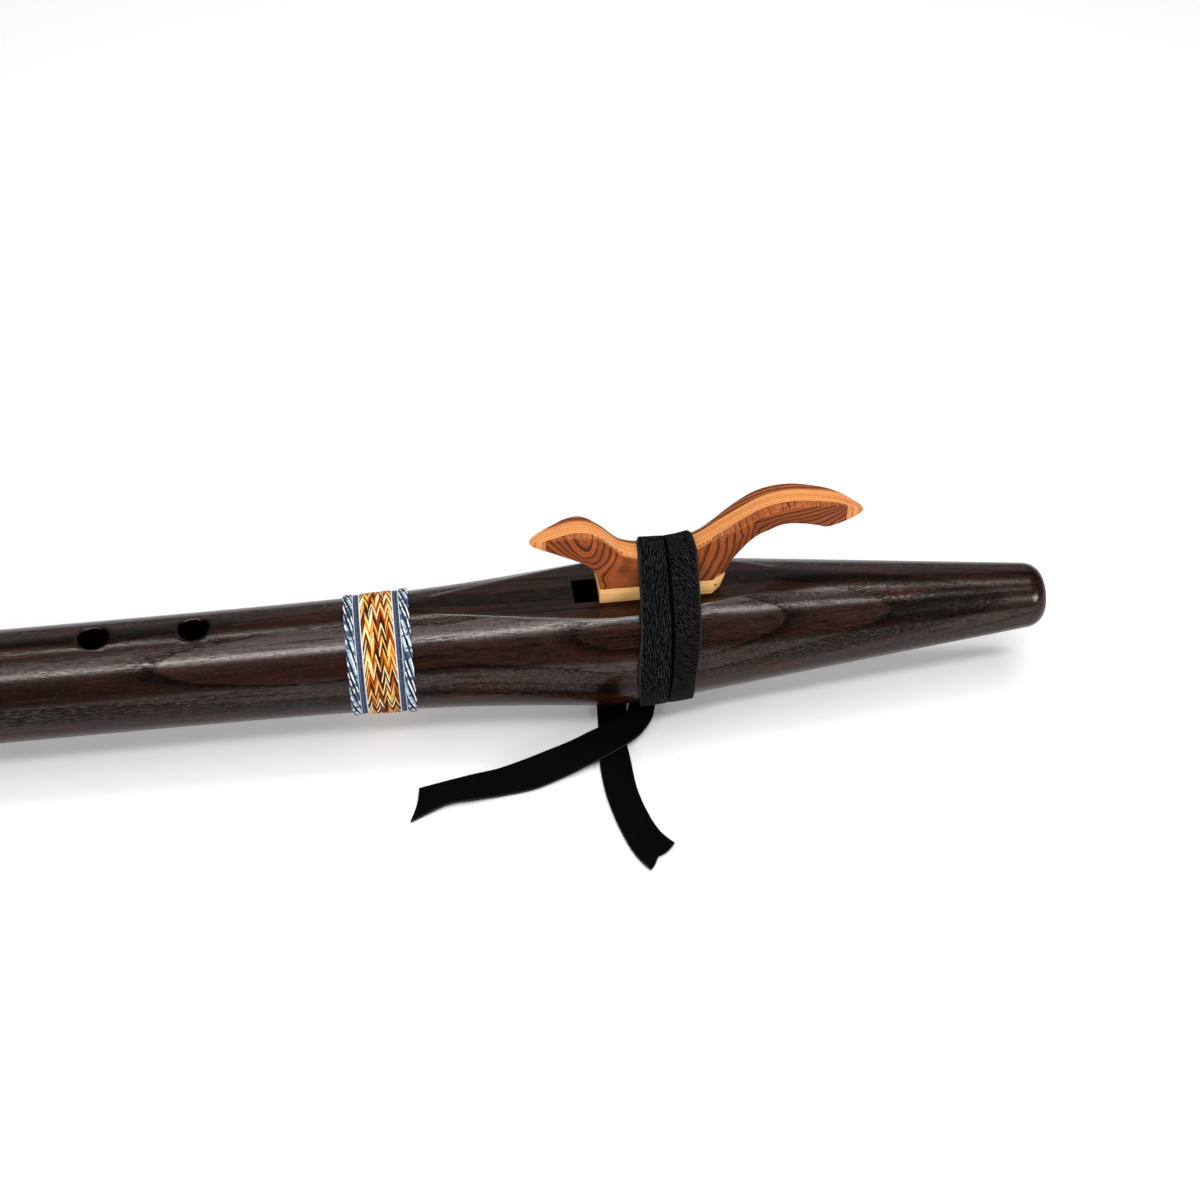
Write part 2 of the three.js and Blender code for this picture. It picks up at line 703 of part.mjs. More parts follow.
const tails = new THREE.Group();
tails.add(piece('strap_tail_left', laceTail(leftTailRoute), suede));
tails.add(piece('strap_tail_right', laceTail(rightTailRoute), { ...suede }));
tails.position.set(flutePlace, 0, 0);

const whole = new THREE.Group();
whole.add(flute, tails);

export default whole;
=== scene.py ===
# %% [markdown]
# # A Native American flute in Blender
# The flute is a wooden tube with two air chambers. A small carved block, called the bird, is tied
# on top with a leather lace and steers the breath to the sound hole. This lesson dresses a packed
# CAD model of it: the lengths follow the CAD, and Blender adds rounded edges, wood figure, leather
# grain, the woven band and the light.

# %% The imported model
import json
import math

import bmesh
import bpy
import numpy as np
from mathutils import Matrix, Vector

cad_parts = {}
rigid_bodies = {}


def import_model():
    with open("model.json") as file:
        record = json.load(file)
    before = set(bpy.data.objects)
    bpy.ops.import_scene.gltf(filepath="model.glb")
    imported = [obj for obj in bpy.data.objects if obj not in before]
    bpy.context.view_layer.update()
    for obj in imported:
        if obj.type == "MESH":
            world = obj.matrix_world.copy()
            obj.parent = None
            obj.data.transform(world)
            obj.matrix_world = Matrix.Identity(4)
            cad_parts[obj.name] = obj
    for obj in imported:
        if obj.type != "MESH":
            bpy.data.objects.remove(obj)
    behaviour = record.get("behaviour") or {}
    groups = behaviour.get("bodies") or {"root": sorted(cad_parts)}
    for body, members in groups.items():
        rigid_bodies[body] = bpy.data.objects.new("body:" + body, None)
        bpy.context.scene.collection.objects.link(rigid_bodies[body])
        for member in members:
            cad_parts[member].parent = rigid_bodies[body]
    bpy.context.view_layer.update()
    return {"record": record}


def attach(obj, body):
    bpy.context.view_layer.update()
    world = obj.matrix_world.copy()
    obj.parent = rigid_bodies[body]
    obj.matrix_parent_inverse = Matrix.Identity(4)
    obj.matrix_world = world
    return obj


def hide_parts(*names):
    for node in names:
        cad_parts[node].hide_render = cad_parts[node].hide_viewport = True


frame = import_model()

# %% [markdown]
# ## Camera
# The photograph looks down on the flute from the player's left, with a long lens. Its lens and
# place were worked out from the outlines of the tube, and the numbers are simply written down.

# %% Camera
lens = bpy.data.cameras.new("camera")
lens.sensor_width = 36
lens.lens = 59.46
camera = bpy.data.objects.new("camera", lens)
camera.location = (0.0407, -0.4139, 0.4210)
camera.rotation_euler = Vector((0.0952, 0.7309, -0.6758)).to_track_quat("-Z", "Y").to_euler()
bpy.context.scene.collection.objects.link(camera)
bpy.context.scene.camera = camera
print("camera stands", round(camera.location.length, 3), "m from the origin")

# %% [markdown]
# ## Millimetres first
# A maker measures a flute in millimetres from the cutting edge of the sound hole. All sizes here
# are written that way, and one function carries points into the shared frame in metres.

# %% Shape of the tube
FOOT, HEAD, MOUTH_END = -315.0, 141.0, 139.2
CHAMBER_RADIUS, BELLY_RADIUS, MOUTH_RADIUS = 16.0, 21.05, 8.9
BELLY_PLACE, SWELL_REACH, SWELL_POWER = 10.0, 41.0, 1.4
CONE_SLOPE = 1.1 * (BELLY_RADIUS - MOUTH_RADIUS) / (HEAD - BELLY_PLACE)
CROWN_REACH = 0.2 * (BELLY_RADIUS - MOUTH_RADIUS) / CONE_SLOPE
NEST_HEIGHT = 17.0


def outer_radius(x):
    x = np.asarray(x, float)
    before = np.maximum(BELLY_PLACE - x, 0) / SWELL_REACH
    swell = CHAMBER_RADIUS + (BELLY_RADIUS - CHAMBER_RADIUS) * np.exp(-before**SWELL_POWER)
    past = np.maximum(x - BELLY_PLACE, 0)
    crown = BELLY_RADIUS - CONE_SLOPE * past**2 / (2 * CROWN_REACH)
    cone = MOUTH_RADIUS + CONE_SLOPE * (HEAD - x)
    return np.where(x < BELLY_PLACE, swell, np.where(past < CROWN_REACH, crown, cone))


# %% Into the shared frame
LACE_THICKNESS, LACE_WIDTH, LACE_START = 1.0, 8.3, 18.5
KNOT_THICKNESS = 2.75
LACE_DROP = 0.45 + LACE_THICKNESS + 0.3
TABLE_DROP = float(outer_radius(LACE_START)) + LACE_DROP + KNOT_THICKNESS
FLUTE_PLACE = 87.0


def into_frame(points, table=False):
    """Millimetres from the cutting edge to metres in the shared frame. Points of a piece that
    lies on the table count their height from the table."""
    lift = 0 if table else TABLE_DROP
    return (np.asarray(points, float) + (FLUTE_PLACE, 0, lift)) / 1000


print("the axis is", round(TABLE_DROP, 2), "mm above the table")

# %% Meshes from points
scene_objects = bpy.context.scene.collection.objects


def new_piece(name, points, faces, table=False):
    mesh = bpy.data.meshes.new(name)
    mesh.from_pydata(into_frame(points, table).tolist(), [], faces)
    piece = bpy.data.objects.new(name, mesh)
    scene_objects.link(piece)
    return piece


def loft(rings):
    """Points and faces of closed sections joined in a row, with a cap at each end."""
    rings = np.asarray(rings, float)
    count, size = rings.shape[:2]
    faces = [(a + j, a + (j + 1) % size, a + size + (j + 1) % size, a + size + j)
             for a in range(0, (count - 1) * size, size) for j in range(size)]
    faces.append(tuple(reversed(range(size))))
    faces.append(tuple(range((count - 1) * size, count * size)))
    return rings.reshape(-1, 3), faces


# %% Finishing a mesh
def face_outward(piece):
    """Merge doubles and turn every face outward."""
    work = bmesh.new()
    work.from_mesh(piece.data)
    bmesh.ops.remove_doubles(work, verts=work.verts, dist=1e-7)
    bmesh.ops.recalc_face_normals(work, faces=work.faces)
    work.to_mesh(piece.data)
    work.free()


def apply_modifiers(piece):
    """Replace a piece's mesh by its evaluated one and drop the modifiers."""
    depsgraph = bpy.context.evaluated_depsgraph_get()
    mesh = bpy.data.meshes.new_from_object(piece.evaluated_get(depsgraph))
    piece.modifiers.clear()
    piece.data = mesh


def finish(piece, material, crease=35):
    """Give a piece its material, shade it smooth, with sharp edges where faces meet at more than
    crease degrees, and print its size."""
    mesh = piece.data
    mesh.materials.clear()
    mesh.materials.append(material)
    mesh.polygons.foreach_set("use_smooth", [True] * len(mesh.polygons))
    mesh.set_sharp_from_angle(angle=math.radians(crease))
    mesh.update()
    size = np.ptp([vertex.co for vertex in mesh.vertices], axis=0) * 1000
    print(piece.name, "faces:", len(mesh.polygons), "size in mm:", size.round(1).tolist())


# %% [markdown]
# ## Curves through listed points
# The bird's outline and the lace's route are lists of a few points. A Catmull-Rom curve passes
# through each of them without overshooting much, so it is easy to set.


# %% Smooth curve through points
def smooth_path(points, steps):
    points = np.asarray(points, float)
    last = len(points) - 1
    path = []
    for t in np.linspace(0, last, last * steps + 1):
        i = min(int(t), last - 1)
        w = t - i
        before, a = points[max(i - 1, 0)], points[i]
        b, after = points[i + 1], points[min(i + 2, last)]
        slope_a, slope_b = (b - before) / 2, (after - a) / 2
        path.append(
            a * (2 * w**3 - 3 * w**2 + 1) + slope_a * (w**3 - 2 * w**2 + w)
            + b * (3 * w**2 - 2 * w**3) + slope_b * (w**3 - w**2)
        )
    return np.array(path)


def stretch_lengths(points):
    steps = np.linalg.norm(np.diff(points, axis=0), axis=1)
    return np.concatenate([[0], np.cumsum(steps)])


# %% [markdown]
# ## Loose tails of the lace
# The leather lace is wound twice round tube and bird and tied underneath. Its two ends are left
# loose and lie on the table: limp, flat, 9 mm wide and cut off by hand, the right one with a
# notch. Each tail is swept between two listed edges, so it can twist and lift off the table the
# way real leather does.

# %% Routes of the tails, far edge and near edge
TAIL_WIDTH = 9.4
left_route = [
    [(15.6, -5.3, 1.4), (23.6, -5.3, 1.2)],
    [(14.4, -9.8, 2.6), (21.7, -12.2, 1.2)],
    [(12.2, -12.6, 3.1), (18.2, -18.0, 1.6)],
    [(8.3, -15.4, 3.7), (14.2, -22.4, 2.5)],
    [(2.6, -18.6, 4.3), (7.6, -26.8, 2.7)],
    [(-4.0, -21.8, 4.2), (0.6, -30.3, 2.5)],
    [(-11.0, -24.4, 4.0), (-7.0, -33.0, 1.3)],
    [(-18.0, -26.1, 2.8), (-15.6, -36.0, 0.9)],
    [(-25.5, -27.5, 1.6), (-24.2, -37.3, 0.9)],
    [(-33.0, -28.4, 1.1), (-33.0, -38.5, 1.5)],
    [(-41.0, -29.9, 0.9), (-41.2, -39.4, 1.6)],
    [(-48.3, -31.4, 0.8), (-51.5, -43.8, 0.8)],
]
right_route = [
    [(5.9, -5.3, 0.8), (15.0, -5.3, 0.8)],
    [(4.9, -17.5, 0.8), (12.8, -17.5, 0.8)],
    [(3.8, -28.5, 0.8), (12.9, -28.5, 0.8)],
    [(3.9, -39.0, 0.8), (13.2, -39.5, 0.8)],
    [(5.2, -49.0, 0.8), (14.9, -49.0, 0.8)],
    [(7.2, -58.0, 0.8), (17.0, -55.5, 0.8)],
    [(9.5, -64.5, 0.8), (19.0, -59.2, 1.2)],
    [(12.4, -69.4, 0.9), (20.4, -61.3, 1.6)],
]


# %% Section of the lace
def lace_section(across=10, corner=0.07):
    """Outline of the lace: across in shares of half its width, out in millimetres."""
    low = [(u, -LACE_THICKNESS / 2) for u in np.linspace(corner - 1, 1 - corner, across)]
    high = [(-u, LACE_THICKNESS / 2) for u, _ in low]
    side = [(1 - corner + corner * math.sin(a), -LACE_THICKNESS / 2 * math.cos(a))
            for a in np.linspace(0, np.pi, 5)[1:-1]]
    return np.array(low + side + high + [(-u, -v) for u, v in side])


def set_attribute(piece, name, values):
    """Store one number for each vertex, for a material to read."""
    layer = piece.data.attributes.new(name, "FLOAT", "POINT")
    layer.data.foreach_set("value", np.asarray(values, np.float32).ravel())


def set_uv(piece, uv_of_vertex):
    """Give each corner of each face its vertex's place on the lace, in millimetres."""
    layer = piece.data.uv_layers.new(name="lace")
    corner_vertex = np.empty(len(piece.data.loops), np.int32)
    piece.data.loops.foreach_get("vertex_index", corner_vertex)
    layer.data.foreach_set("uv", np.asarray(uv_of_vertex, np.float32)[corner_vertex].ravel())


# %% Sweeping a tail
def lace_tail(name, route, cut=lambda u: 1):
    """cut gives how much of the route is left, for a place across the lace from -1 to 1. The
    far end is closed with quads, because one large face would fill a notch."""
    route = np.asarray(route, float)
    far, near = (smooth_path(route[:, k], 24) for k in (0, 1))
    middle = (far + near) / 2
    travel = stretch_lengths(middle)
    section = lace_section()
    share = np.linspace(0, 1, len(middle))

    def at(line, s):
        return np.array([np.interp(s, share, line[:, k]) for k in range(3)])

    rings, places = [], []
    for t in share:
        for u, v in section:
            s = t * cut(u)
            a, b = at(far, s), at(near, s)
            ahead = at(middle, min(s + 0.01, 1)) - at(middle, max(s - 0.01, 0))
            up = np.cross(ahead, b - a)
            up *= np.sign(up[2]) / np.linalg.norm(up)
            rings.append((a + b) / 2 + (b - a) / 2 * u + up * v)
            places.append((u * TAIL_WIDTH / 2, s * travel[-1]))
    size = len(section)
    points, faces = loft(np.reshape(rings, (-1, size, 3)))
    flat, last = size // 2 - 3, len(points) - size
    faces[-1:] = [(last + i, last + i + 1, last + size - 5 - i, last + size - 4 - i)
                  for i in range(flat - 1)]
    faces.append(tuple(range(last + flat - 1, last + flat + 4)))
    faces.append((last + size - 4, last + size - 3, last + size - 2, last + size - 1, last))
    tail = new_piece(name, points, faces, table=True)
    set_uv(tail, places)
    # Both long edges are marked as rim, which the material paints a lighter grey as a painted
    # highlight.
    set_attribute(tail, "rim", np.tile(np.abs(section[:, 0]) > 0.93, len(share)))
    face_outward(tail)
    return tail, into_frame(middle[::6], table=True), travel[-1] / 1000


left_tail, left_path, left_length = lace_tail(
    "tail_left", left_route, lambda u: 1 - 0.012 * (1 - u**2))
right_tail, right_path, right_length = lace_tail(
    "tail_right", right_route, lambda u: 1 - 0.05 * max(0.0, 1 - abs(u + 0.12) / 0.55))
print("tail lengths in m:", round(left_length, 4), round(right_length, 4))

# %% [markdown]
# ## Shader helpers
# Every material is built from nodes. A wire is the output of a node that can be added, multiplied
# or blended like a number, so a recipe reads like a list: what is measured, what is mixed, and
# where it ends. Blender's own way is to add each node and link it by hand, which takes four lines
# for every sum.


# %% Colours, and feeding sockets
def srgb(red, green, blue):
    """A colour as a paint card or a screen gives it, turned to the linear values Blender wants."""
    return tuple(
        c / 12.92 if c <= 0.04045 else ((c + 0.055) / 1.055) ** 2.4
        for c in (red / 255, green / 255, blue / 255)
    ) + (1.0,)


def feed(inputs, values):
    """Feed sockets, by name or number, with wires or with plain values."""
    for key, value in values.items():
        if isinstance(value, Wire):
            value.tree.links.new(value.socket, inputs[key])
        else:
            inputs[key].default_value = value


def put(tree, kind, sockets=None, output=0, **settings):
    """Add a node, set its options, feed its sockets, and give one of its outputs as a wire."""
    node = tree.nodes.new(kind)
    for key, value in settings.items():
        setattr(node, key, value)
    feed(node.inputs, sockets or {})
    return Wire(node.outputs[output])


def maths(operation, *values, clamp=False):
    tree = next(value.tree for value in values if isinstance(value, Wire))
    return put(tree, "ShaderNodeMath", dict(enumerate(values)), operation=operation,
               use_clamp=clamp)


# %% Wires
class Wire:
    """The output of a node, which counts like a number."""

    def __init__(self, socket):
        self.socket, self.tree = socket, socket.id_data

    def __add__(self, other):
        return maths("ADD", self, other)

    def __sub__(self, other):
        return maths("SUBTRACT", self, other)

    def __rsub__(self, other):
        return maths("SUBTRACT", other, self)

    def __mul__(self, other):
        return maths("MULTIPLY", self, other)

    def __truediv__(self, other):
        return maths("DIVIDE", self, other)

    def __rtruediv__(self, other):
        return maths("DIVIDE", other, self)

    def __mod__(self, other):
        return maths("MODULO", self, other)

    def ramp(self, low, high):
        """0 below low, 1 above high, and smooth between."""
        return put(self.tree, "ShaderNodeMapRange", {0: self, 1: low, 2: high},
                   interpolation_type="SMOOTHSTEP")

    def blend(self, first, second):
        """The first colour where this wire is 0, the second where it is 1."""
        first, second = (tone if isinstance(tone, Wire) else srgb(*tone)
                         for tone in (first, second))
        return put(self.tree, "ShaderNodeMix", {0: self, 6: first, 7: second}, 2,
                   data_type="RGBA")


# %% Measuring and spreading
def flute_place(tree):
    """Object coordinates in millimetres, measured from the cutting edge and the tube's axis."""
    return put(tree, "ShaderNodeMapping", {
        "Vector": put(tree, "ShaderNodeTexCoord", output="Object"),
        "Location": (-FLUTE_PLACE, 0, -TABLE_DROP), "Scale": (1000, 1000, 1000)})


def measured(place, direction):
    """How far a place lies along a direction."""
    return put(place.tree, "ShaderNodeVectorMath", {0: place, 1: direction}, "Value",
               operation="DOT_PRODUCT")


def attribute(tree, name):
    return put(tree, "ShaderNodeAttribute", output="Fac", attribute_name=name)


def noise(place, scale, detail=2.0, roughness=0.5, shift=(0, 0, 0)):
    """Cloudy noise from 0 to 1; the scales say how many clouds fall on a millimetre each way."""
    drawn = put(place.tree, "ShaderNodeMapping",
                {"Vector": place, "Scale": scale, "Location": shift})
    return put(place.tree, "ShaderNodeTexNoise", {"Vector": drawn, "Scale": 1.0,
                                                  "Detail": detail, "Roughness": roughness})


def bump(height, distance, strength):
    return put(height.tree, "ShaderNodeBump", {"Height": height, "Distance": distance,
                                               "Strength": strength})


# %% Starting a material or a node group
def new_material(name, tint):
    material = bpy.data.materials.new(name)
    material.use_nodes = True
    material.diffuse_color = srgb(*tint)
    tree = material.node_tree
    return material, tree, tree.nodes["Principled BSDF"].inputs


def group_ends(tree):
    """The wires that come into a group, and the sockets at its end."""
    start = tree.nodes.new("NodeGroupInput")
    end = tree.nodes.new("NodeGroupOutput")
    return {socket.name: Wire(socket) for socket in start.outputs}, end.inputs


def new_group(name, inputs, outputs):
    """inputs are (name, kind, value) and outputs are names of numbers."""
    tree = bpy.data.node_groups.new(name, "ShaderNodeTree")
    for label, kind, value in inputs:
        socket = tree.interface.new_socket(label, in_out="INPUT", socket_type="NodeSocket" + kind)
        socket.default_value = value
    for label in outputs:
        tree.interface.new_socket(label, in_out="OUTPUT", socket_type="NodeSocketFloat")
    return tree, *group_ends(tree)


def use_group(place, group, **sockets):
    """Place a group; its Vector is the place, and an underscore stands for a space in a name."""
    sockets = {key.replace("_", " "): value for key, value in sockets.items()}
    first = put(place.tree, "ShaderNodeGroup", {"Vector": place}, node_tree=group)
    feed(first.socket.node.inputs, sockets)
    return {socket.name: Wire(socket) for socket in first.socket.node.outputs}


# %% [markdown]
# ## Wood as it grows
# A tree adds a layer of wood each year: pale early wood, then a dark line of late wood. Sawn and
# rounded, those layers show as stripes, arches and tongues. Three effects are shared by all the
# woods here, so each is a node group: growth lines, fibres with pores, and pin knots.

# %% Growth lines
YEAR_END = 0.97
growth_lines, given, result = new_group(
    "growth_lines",
    [("Layer", "Float", 0.0), ("Vector", "Vector", (0, 0, 0)), ("Wobble", "Float", 0.1),
     ("Early Width", "Float", 0.6)],
    ["Line", "Shade"],
)
wave = noise(given["Vector"], (0.16, 0.5, 0.5), 3.0)
layer = (wave - 0.5) * given["Wobble"] + given["Layer"]
year = maths("FRACT", layer)
line = maths("SUBTRACT", year.ramp(given["Early Width"], YEAR_END), year.ramp(YEAR_END, 1.0),
             clamp=True)
shade = put(growth_lines, "ShaderNodeTexWhiteNoise", {"W": maths("FLOOR", layer)},
            noise_dimensions="1D")
feed(result, {"Line": line, "Shade": shade})

# %% Fibres and pores
wood_fibres, given, result = new_group(
    "wood_fibres",
    [("Vector", "Vector", (0, 0, 0)), ("Length", "Float", 14.0), ("Width", "Float", 0.35)],
    ["Fibre", "Pore"],
)
across = 1 / given["Width"]
drawn = put(wood_fibres, "ShaderNodeCombineXYZ", {0: 1 / given["Length"], 1: across, 2: across})
feed(result, {"Fibre": noise(given["Vector"], drawn, 4.0, 0.65),
              "Pore": noise(given["Vector"], (0.55, 4.5, 4.5)).ramp(0.56, 0.68)})

# %% Pin knots
pin_knot, given, result = new_group(
    "pin_knot",
    [("Vector", "Vector", (0, 0, 0)), ("Centre", "Vector", (0, 0, 0)), ("Radius", "Float", 0.4)],
    ["Knot"],
)
away = put(pin_knot, "ShaderNodeVectorMath", {0: given["Vector"], 1: given["Centre"]}, "Value",
           operation="DISTANCE")
feed(result, {"Knot": (away / given["Radius"]).ramp(1.0, 0.5)})


def knots(place, spots):
    """The darkest of several pin knots, each given as centre and radius."""
    mask = 0.0
    for centre, radius in spots:
        spot = use_group(place, pin_knot, Centre=centre, Radius=radius)["Knot"]
        mask = maths("MAXIMUM", mask, spot)
    return mask


# %% [markdown]
# ## Walnut for the tube
# The tube is dark brown with a purple cast. Its layers lie square to the camera's side of the
# tube and tilt slightly along it, so the swelling belly and the cone cut them into long tongues.
# Each layer has a tone of its own, and a dark line marks its edge.

# %% Tube wood
tube_wood, tree, shader = new_material("tube_walnut", (40, 28, 22))
place = flute_place(tree)
from_swell = (measured(place, (1, 0, 0)) + 80) / 42
hump = maths("POWER", 0.37, from_swell * from_swell)
layer = measured(place, (0.0, -0.224, 0.232)) + (hump * 0.9 + 0.12)
layer = noise(place, (0.014, 0.07, 0.07)) * 0.55 + layer
years = use_group(place, growth_lines, Layer=layer, Wobble=0.12, Early_Width=0.7)
fibre, pore = use_group(place, wood_fibres, Length=22.0, Width=0.4).values()
line, streak = years["Line"], noise(place, (0.016, 1.1, 1.1), 3.0).ramp(0.54, 0.66)
cloud = noise(place, (0.02, 0.12, 0.12), 3.0, shift=(3, 7, 1)).ramp(0.5, 0.7)
inside = attribute(tree, "inside")
brown = years["Shade"].blend((9, 5, 3), (50, 24, 17))
# Cloud, fibres, streaks and lines are the walnut's figure; the last step paints the inside of the
# air ways near black, a painted shade.
for mask, tone in ((cloud, (58, 24, 15)), (fibre.ramp(0.35, 0.7), (10, 5, 3)),
                   (streak * 0.6, (5, 3, 2)), (line * 0.9, (3, 2, 1)), (inside, (5, 3, 2))):
    brown = mask.blend(brown, tone)

# %% [markdown]
# A satin lacquer lies over the wood. Where the wood drinks it up, in dark lines, streaks and
# pores, it hardly shines, and elsewhere small sparks of it catch the light. So the coat's weight
# follows the figure of the wood, while its roughness is the same all over. The coat fades where
# the surface turns away, which keeps the tube's sides dark, and is full along the nest's edge.

# %% Tube lacquer
gloss = years["Shade"] * 0.72 + 0.08
for dull, share in ((line, 0.95), (streak, 0.8), (pore, 0.8), (fibre, 0.5)):
    gloss = gloss * (1 - dull * share)
gloss = maths("MAXIMUM", gloss, noise(place, (0.42, 6.6, 6.6), 3.0, 0.6).ramp(0.54, 0.6))
grazing = put(tree, "ShaderNodeLayerWeight", {"Blend": 0.5}, "Facing")
facing = maths("MULTIPLY_ADD", grazing, -1.7, 1.0, clamp=True)
edge = attribute(tree, "arris") * fibre.ramp(0.3, 0.45)
gloss = maths("MAXIMUM", gloss * facing, edge) * maths("SUBTRACT", 1.0, inside, clamp=True)
feed(shader, {
    "Base Color": brown, "Roughness": fibre * 0.16 + 0.1, "Coat Weight": gloss,
    "Coat Roughness": 0.2, "Coat IOR": 1.75, "Specular IOR Level": 0.12,
    "Specular Tint": (1.0, 0.66, 0.48, 1), "Normal": bump(fibre - pore, 0.00005, 0.6)})

# %% [markdown]
# ## Cedar for the bird
# The bird is glued from three woods, a pale core between a red-brown and a dark side layer, on a
# base plate of pale pine. All are softwoods with clear growth lines, so one recipe makes them, with
# its own colours and its own way to run the lines.


# %% Cedar
def cedar(name, early, late, run, wobble=0.2, early_width=0.45, strength=0.8, spots=(),
          dress=None):
    """run gives the growth layer at a place, spots are pin knots, and dress repaints the wood."""
    material, tree, shader = new_material(name, early)
    place = flute_place(tree)
    years = use_group(place, growth_lines, Layer=run(place), Wobble=wobble,
                      Early_Width=early_width)
    fibre = use_group(place, wood_fibres, Length=5.0, Width=0.3)["Fibre"]
    colour = (years["Shade"] * 0.35).blend(early, late)
    colour = (years["Line"] * strength).blend(colour, late)
    if dress:
        colour = dress(place, colour)
    colour = (fibre.ramp(0.42, 0.75) * 0.3).blend(colour, (110, 58, 34))
    if spots:
        colour = knots(place, spots).blend(colour, (52, 26, 30))
    feed(shader, {
        "Base Color": colour, "Roughness": fibre * 0.2 + 0.38, "Specular IOR Level": 0.22,
        "Specular Tint": (1.0, 0.75, 0.55, 1),
        "Normal": bump(years["Line"] * 0.6 + fibre, 0.00005, 0.5)})
    return material


# %% Core, far side and base
core_cedar = cedar("core_cedar", (246, 168, 100), (176, 82, 26),
                   lambda place: measured(place, (0.03, 1.1, 0.02)), strength=0.6,
                   spots=[((38.6, 0.0, 36.2), 0.45), ((41.7, -1.0, 38.8), 0.35),
                          ((64.6, 0.0, 46.7), 0.35)])
far_cedar = cedar("far_cedar", (182, 100, 52), (20, 6, 2),
                  lambda place: measured(place, (0.01, 0.75, 0.1)), early_width=0.36,
                  strength=1.0)
base_pine = cedar("base_pine", (255, 206, 136), (240, 166, 96),
                  lambda place: measured(place, (0.01, 0.1, 0.8)), strength=0.45,
                  spots=[((39.6, -5.2, 19.9), 0.7)])

# %% [markdown]
# The near side is the one that the eye rests on. Its growth lines are carved through at a slant
# and follow the bird's form, so the mesh carries them as an attribute. Faint lines run between the
# strong ones, its top faces show paler wood with flecks, and its rounded shoulder is striped.

# %% Near side
BIRD_HALF, CORE_HALF = 6.2, 2.5


def carved_years(place):
    return attribute(place.tree, "growth")


def near_side(place, colour):
    depth = measured(place, (0, 1, 0))
    stripe = use_group(place, growth_lines, Layer=depth * 1.7, Wobble=0.25,
                       Early_Width=0.4)["Line"]
    faint = use_group(place, growth_lines, Layer=carved_years(place) * 2 + 0.4, Wobble=0.7,
                      Early_Width=0.4)["Line"]
    colour = (faint * 0.45).blend(colour, (96, 40, 16))
    top = (stripe * 0.7).blend((204, 120, 70), (118, 50, 20))
    top = noise(place, (1.5, 3.6, 3.6)).ramp(0.53, 0.6).blend(top, (84, 30, 12))
    top = depth.ramp(-CORE_HALF - 0.3, -CORE_HALF - 0.1).blend(top, (70, 26, 12))
    colour = (attribute(place.tree, "upward") * 0.85).blend(colour, top)
    striped = stripe.blend((240, 170, 106), (170, 80, 30))
    return attribute(place.tree, "shoulder").blend(colour, striped)


near_cedar = cedar("near_cedar", (172, 86, 38), (50, 16, 5), carved_years, wobble=0.35,
                   early_width=0.42, strength=1.0, spots=[((37.1, -6.2, 25.7), 0.4)],
                   dress=near_side)
print("woods:", [m.name for m in (tube_wood, core_cedar, far_cedar, near_cedar, base_pine)])

# %% [markdown]
# ## Leather
# The lace is black leather. Its grain side has fine ripples that run along the lace, bent where
# the second turn is pulled slanting, and the ripple crests are painted lighter, a painted
# highlight; its flesh side, seen on the tails, is matt suede. The cut rim is painted a lighter
# grey, a painted highlight, and the edges along the seam between the two turns get a painted shade
# of black. The pattern follows the lace by its UV map, which is in millimetres.

# %% Leather grain
leather_grain, given, result = new_group(
    "leather_grain",
    [("Vector", "Vector", (0, 0, 0)), ("Slant", "Float", 0.0), ("Ripple Length", "Float", 2.2),
     ("Ripple Width", "Float", 0.52)],
    ["Height", "Tone"],
)
turned = put(leather_grain, "ShaderNodeVectorRotate",
             {"Vector": given["Vector"], "Angle": given["Slant"]}, rotation_type="Z_AXIS")
drawn = put(leather_grain, "ShaderNodeCombineXYZ", {0: 1.0, 1: 1 / given["Ripple Length"], 2: 1.0})
wander = noise(turned, drawn, 1.0) - 0.5
rows = maths("FRACT", wander * 2 + measured(turned, (1, 0, 0)) / given["Ripple Width"])
ridge = maths("ABSOLUTE", rows - 0.5).ramp(0.24, 0.06)
# tone marks the ripple crests: it raises the bump, and in the lace's colour it is a painted
# highlight.
tone = ridge * noise(turned, (2.0, 1 / 1.3, 1.0)).ramp(0.3, 0.6)
pebble = put(leather_grain, "ShaderNodeTexVoronoi", {"Vector": given["Vector"], "Scale": 2.6},
             "Distance", feature="SMOOTH_F1")
feed(result, {"Height": pebble * 0.45 + tone, "Tone": tone})


# %% Lace materials
def lace_material(name, dark, crest_highlight, rim_highlight, roughness, depth, shine):
    material, tree, shader = new_material(name, dark)
    uv = put(tree, "ShaderNodeUVMap", uv_map="lace")
    grain = use_group(uv, leather_grain, Slant=attribute(tree, "slant"))
    rim = attribute(tree, "rim")
    # The ripple crests are painted lighter and the outer rims a lighter grey: both are painted
    # highlights.
    colour = rim.ramp(0.2, 1.0).blend(grain["Tone"].blend(dark, crest_highlight), rim_highlight)
    # The edges along the seam between the two turns are painted near black, a painted shade.
    colour = rim.ramp(-0.2, -1.0).blend(colour, (3, 3, 3))
    feed(shader, {"Base Color": colour, "Roughness": grain["Tone"] * -0.12 + roughness,
                  "Specular IOR Level": shine, "Normal": bump(grain["Height"], depth, 1.0)})
    return material


black_leather = lace_material("black_leather", (2, 2, 3), (54, 55, 58), (44, 44, 43), 0.7,
                              0.00006, 0.02)
black_suede = lace_material("black_suede", (3, 3, 4), (9, 8, 10), (40, 38, 38), 0.9, 0.0001, 0.05)
for tail in (left_tail, right_tail):
    finish(tail, black_suede)

# %% [markdown]
# ## Yarn for the band
# The band is woven from smooth yarn. Each strand keeps its own colour, so the mesh stores a number
# per strand and the material turns it into a colour. Fuzz in the height makes it look spun, and on
# the blue cords and strips a second dye takes the yarn in patches.


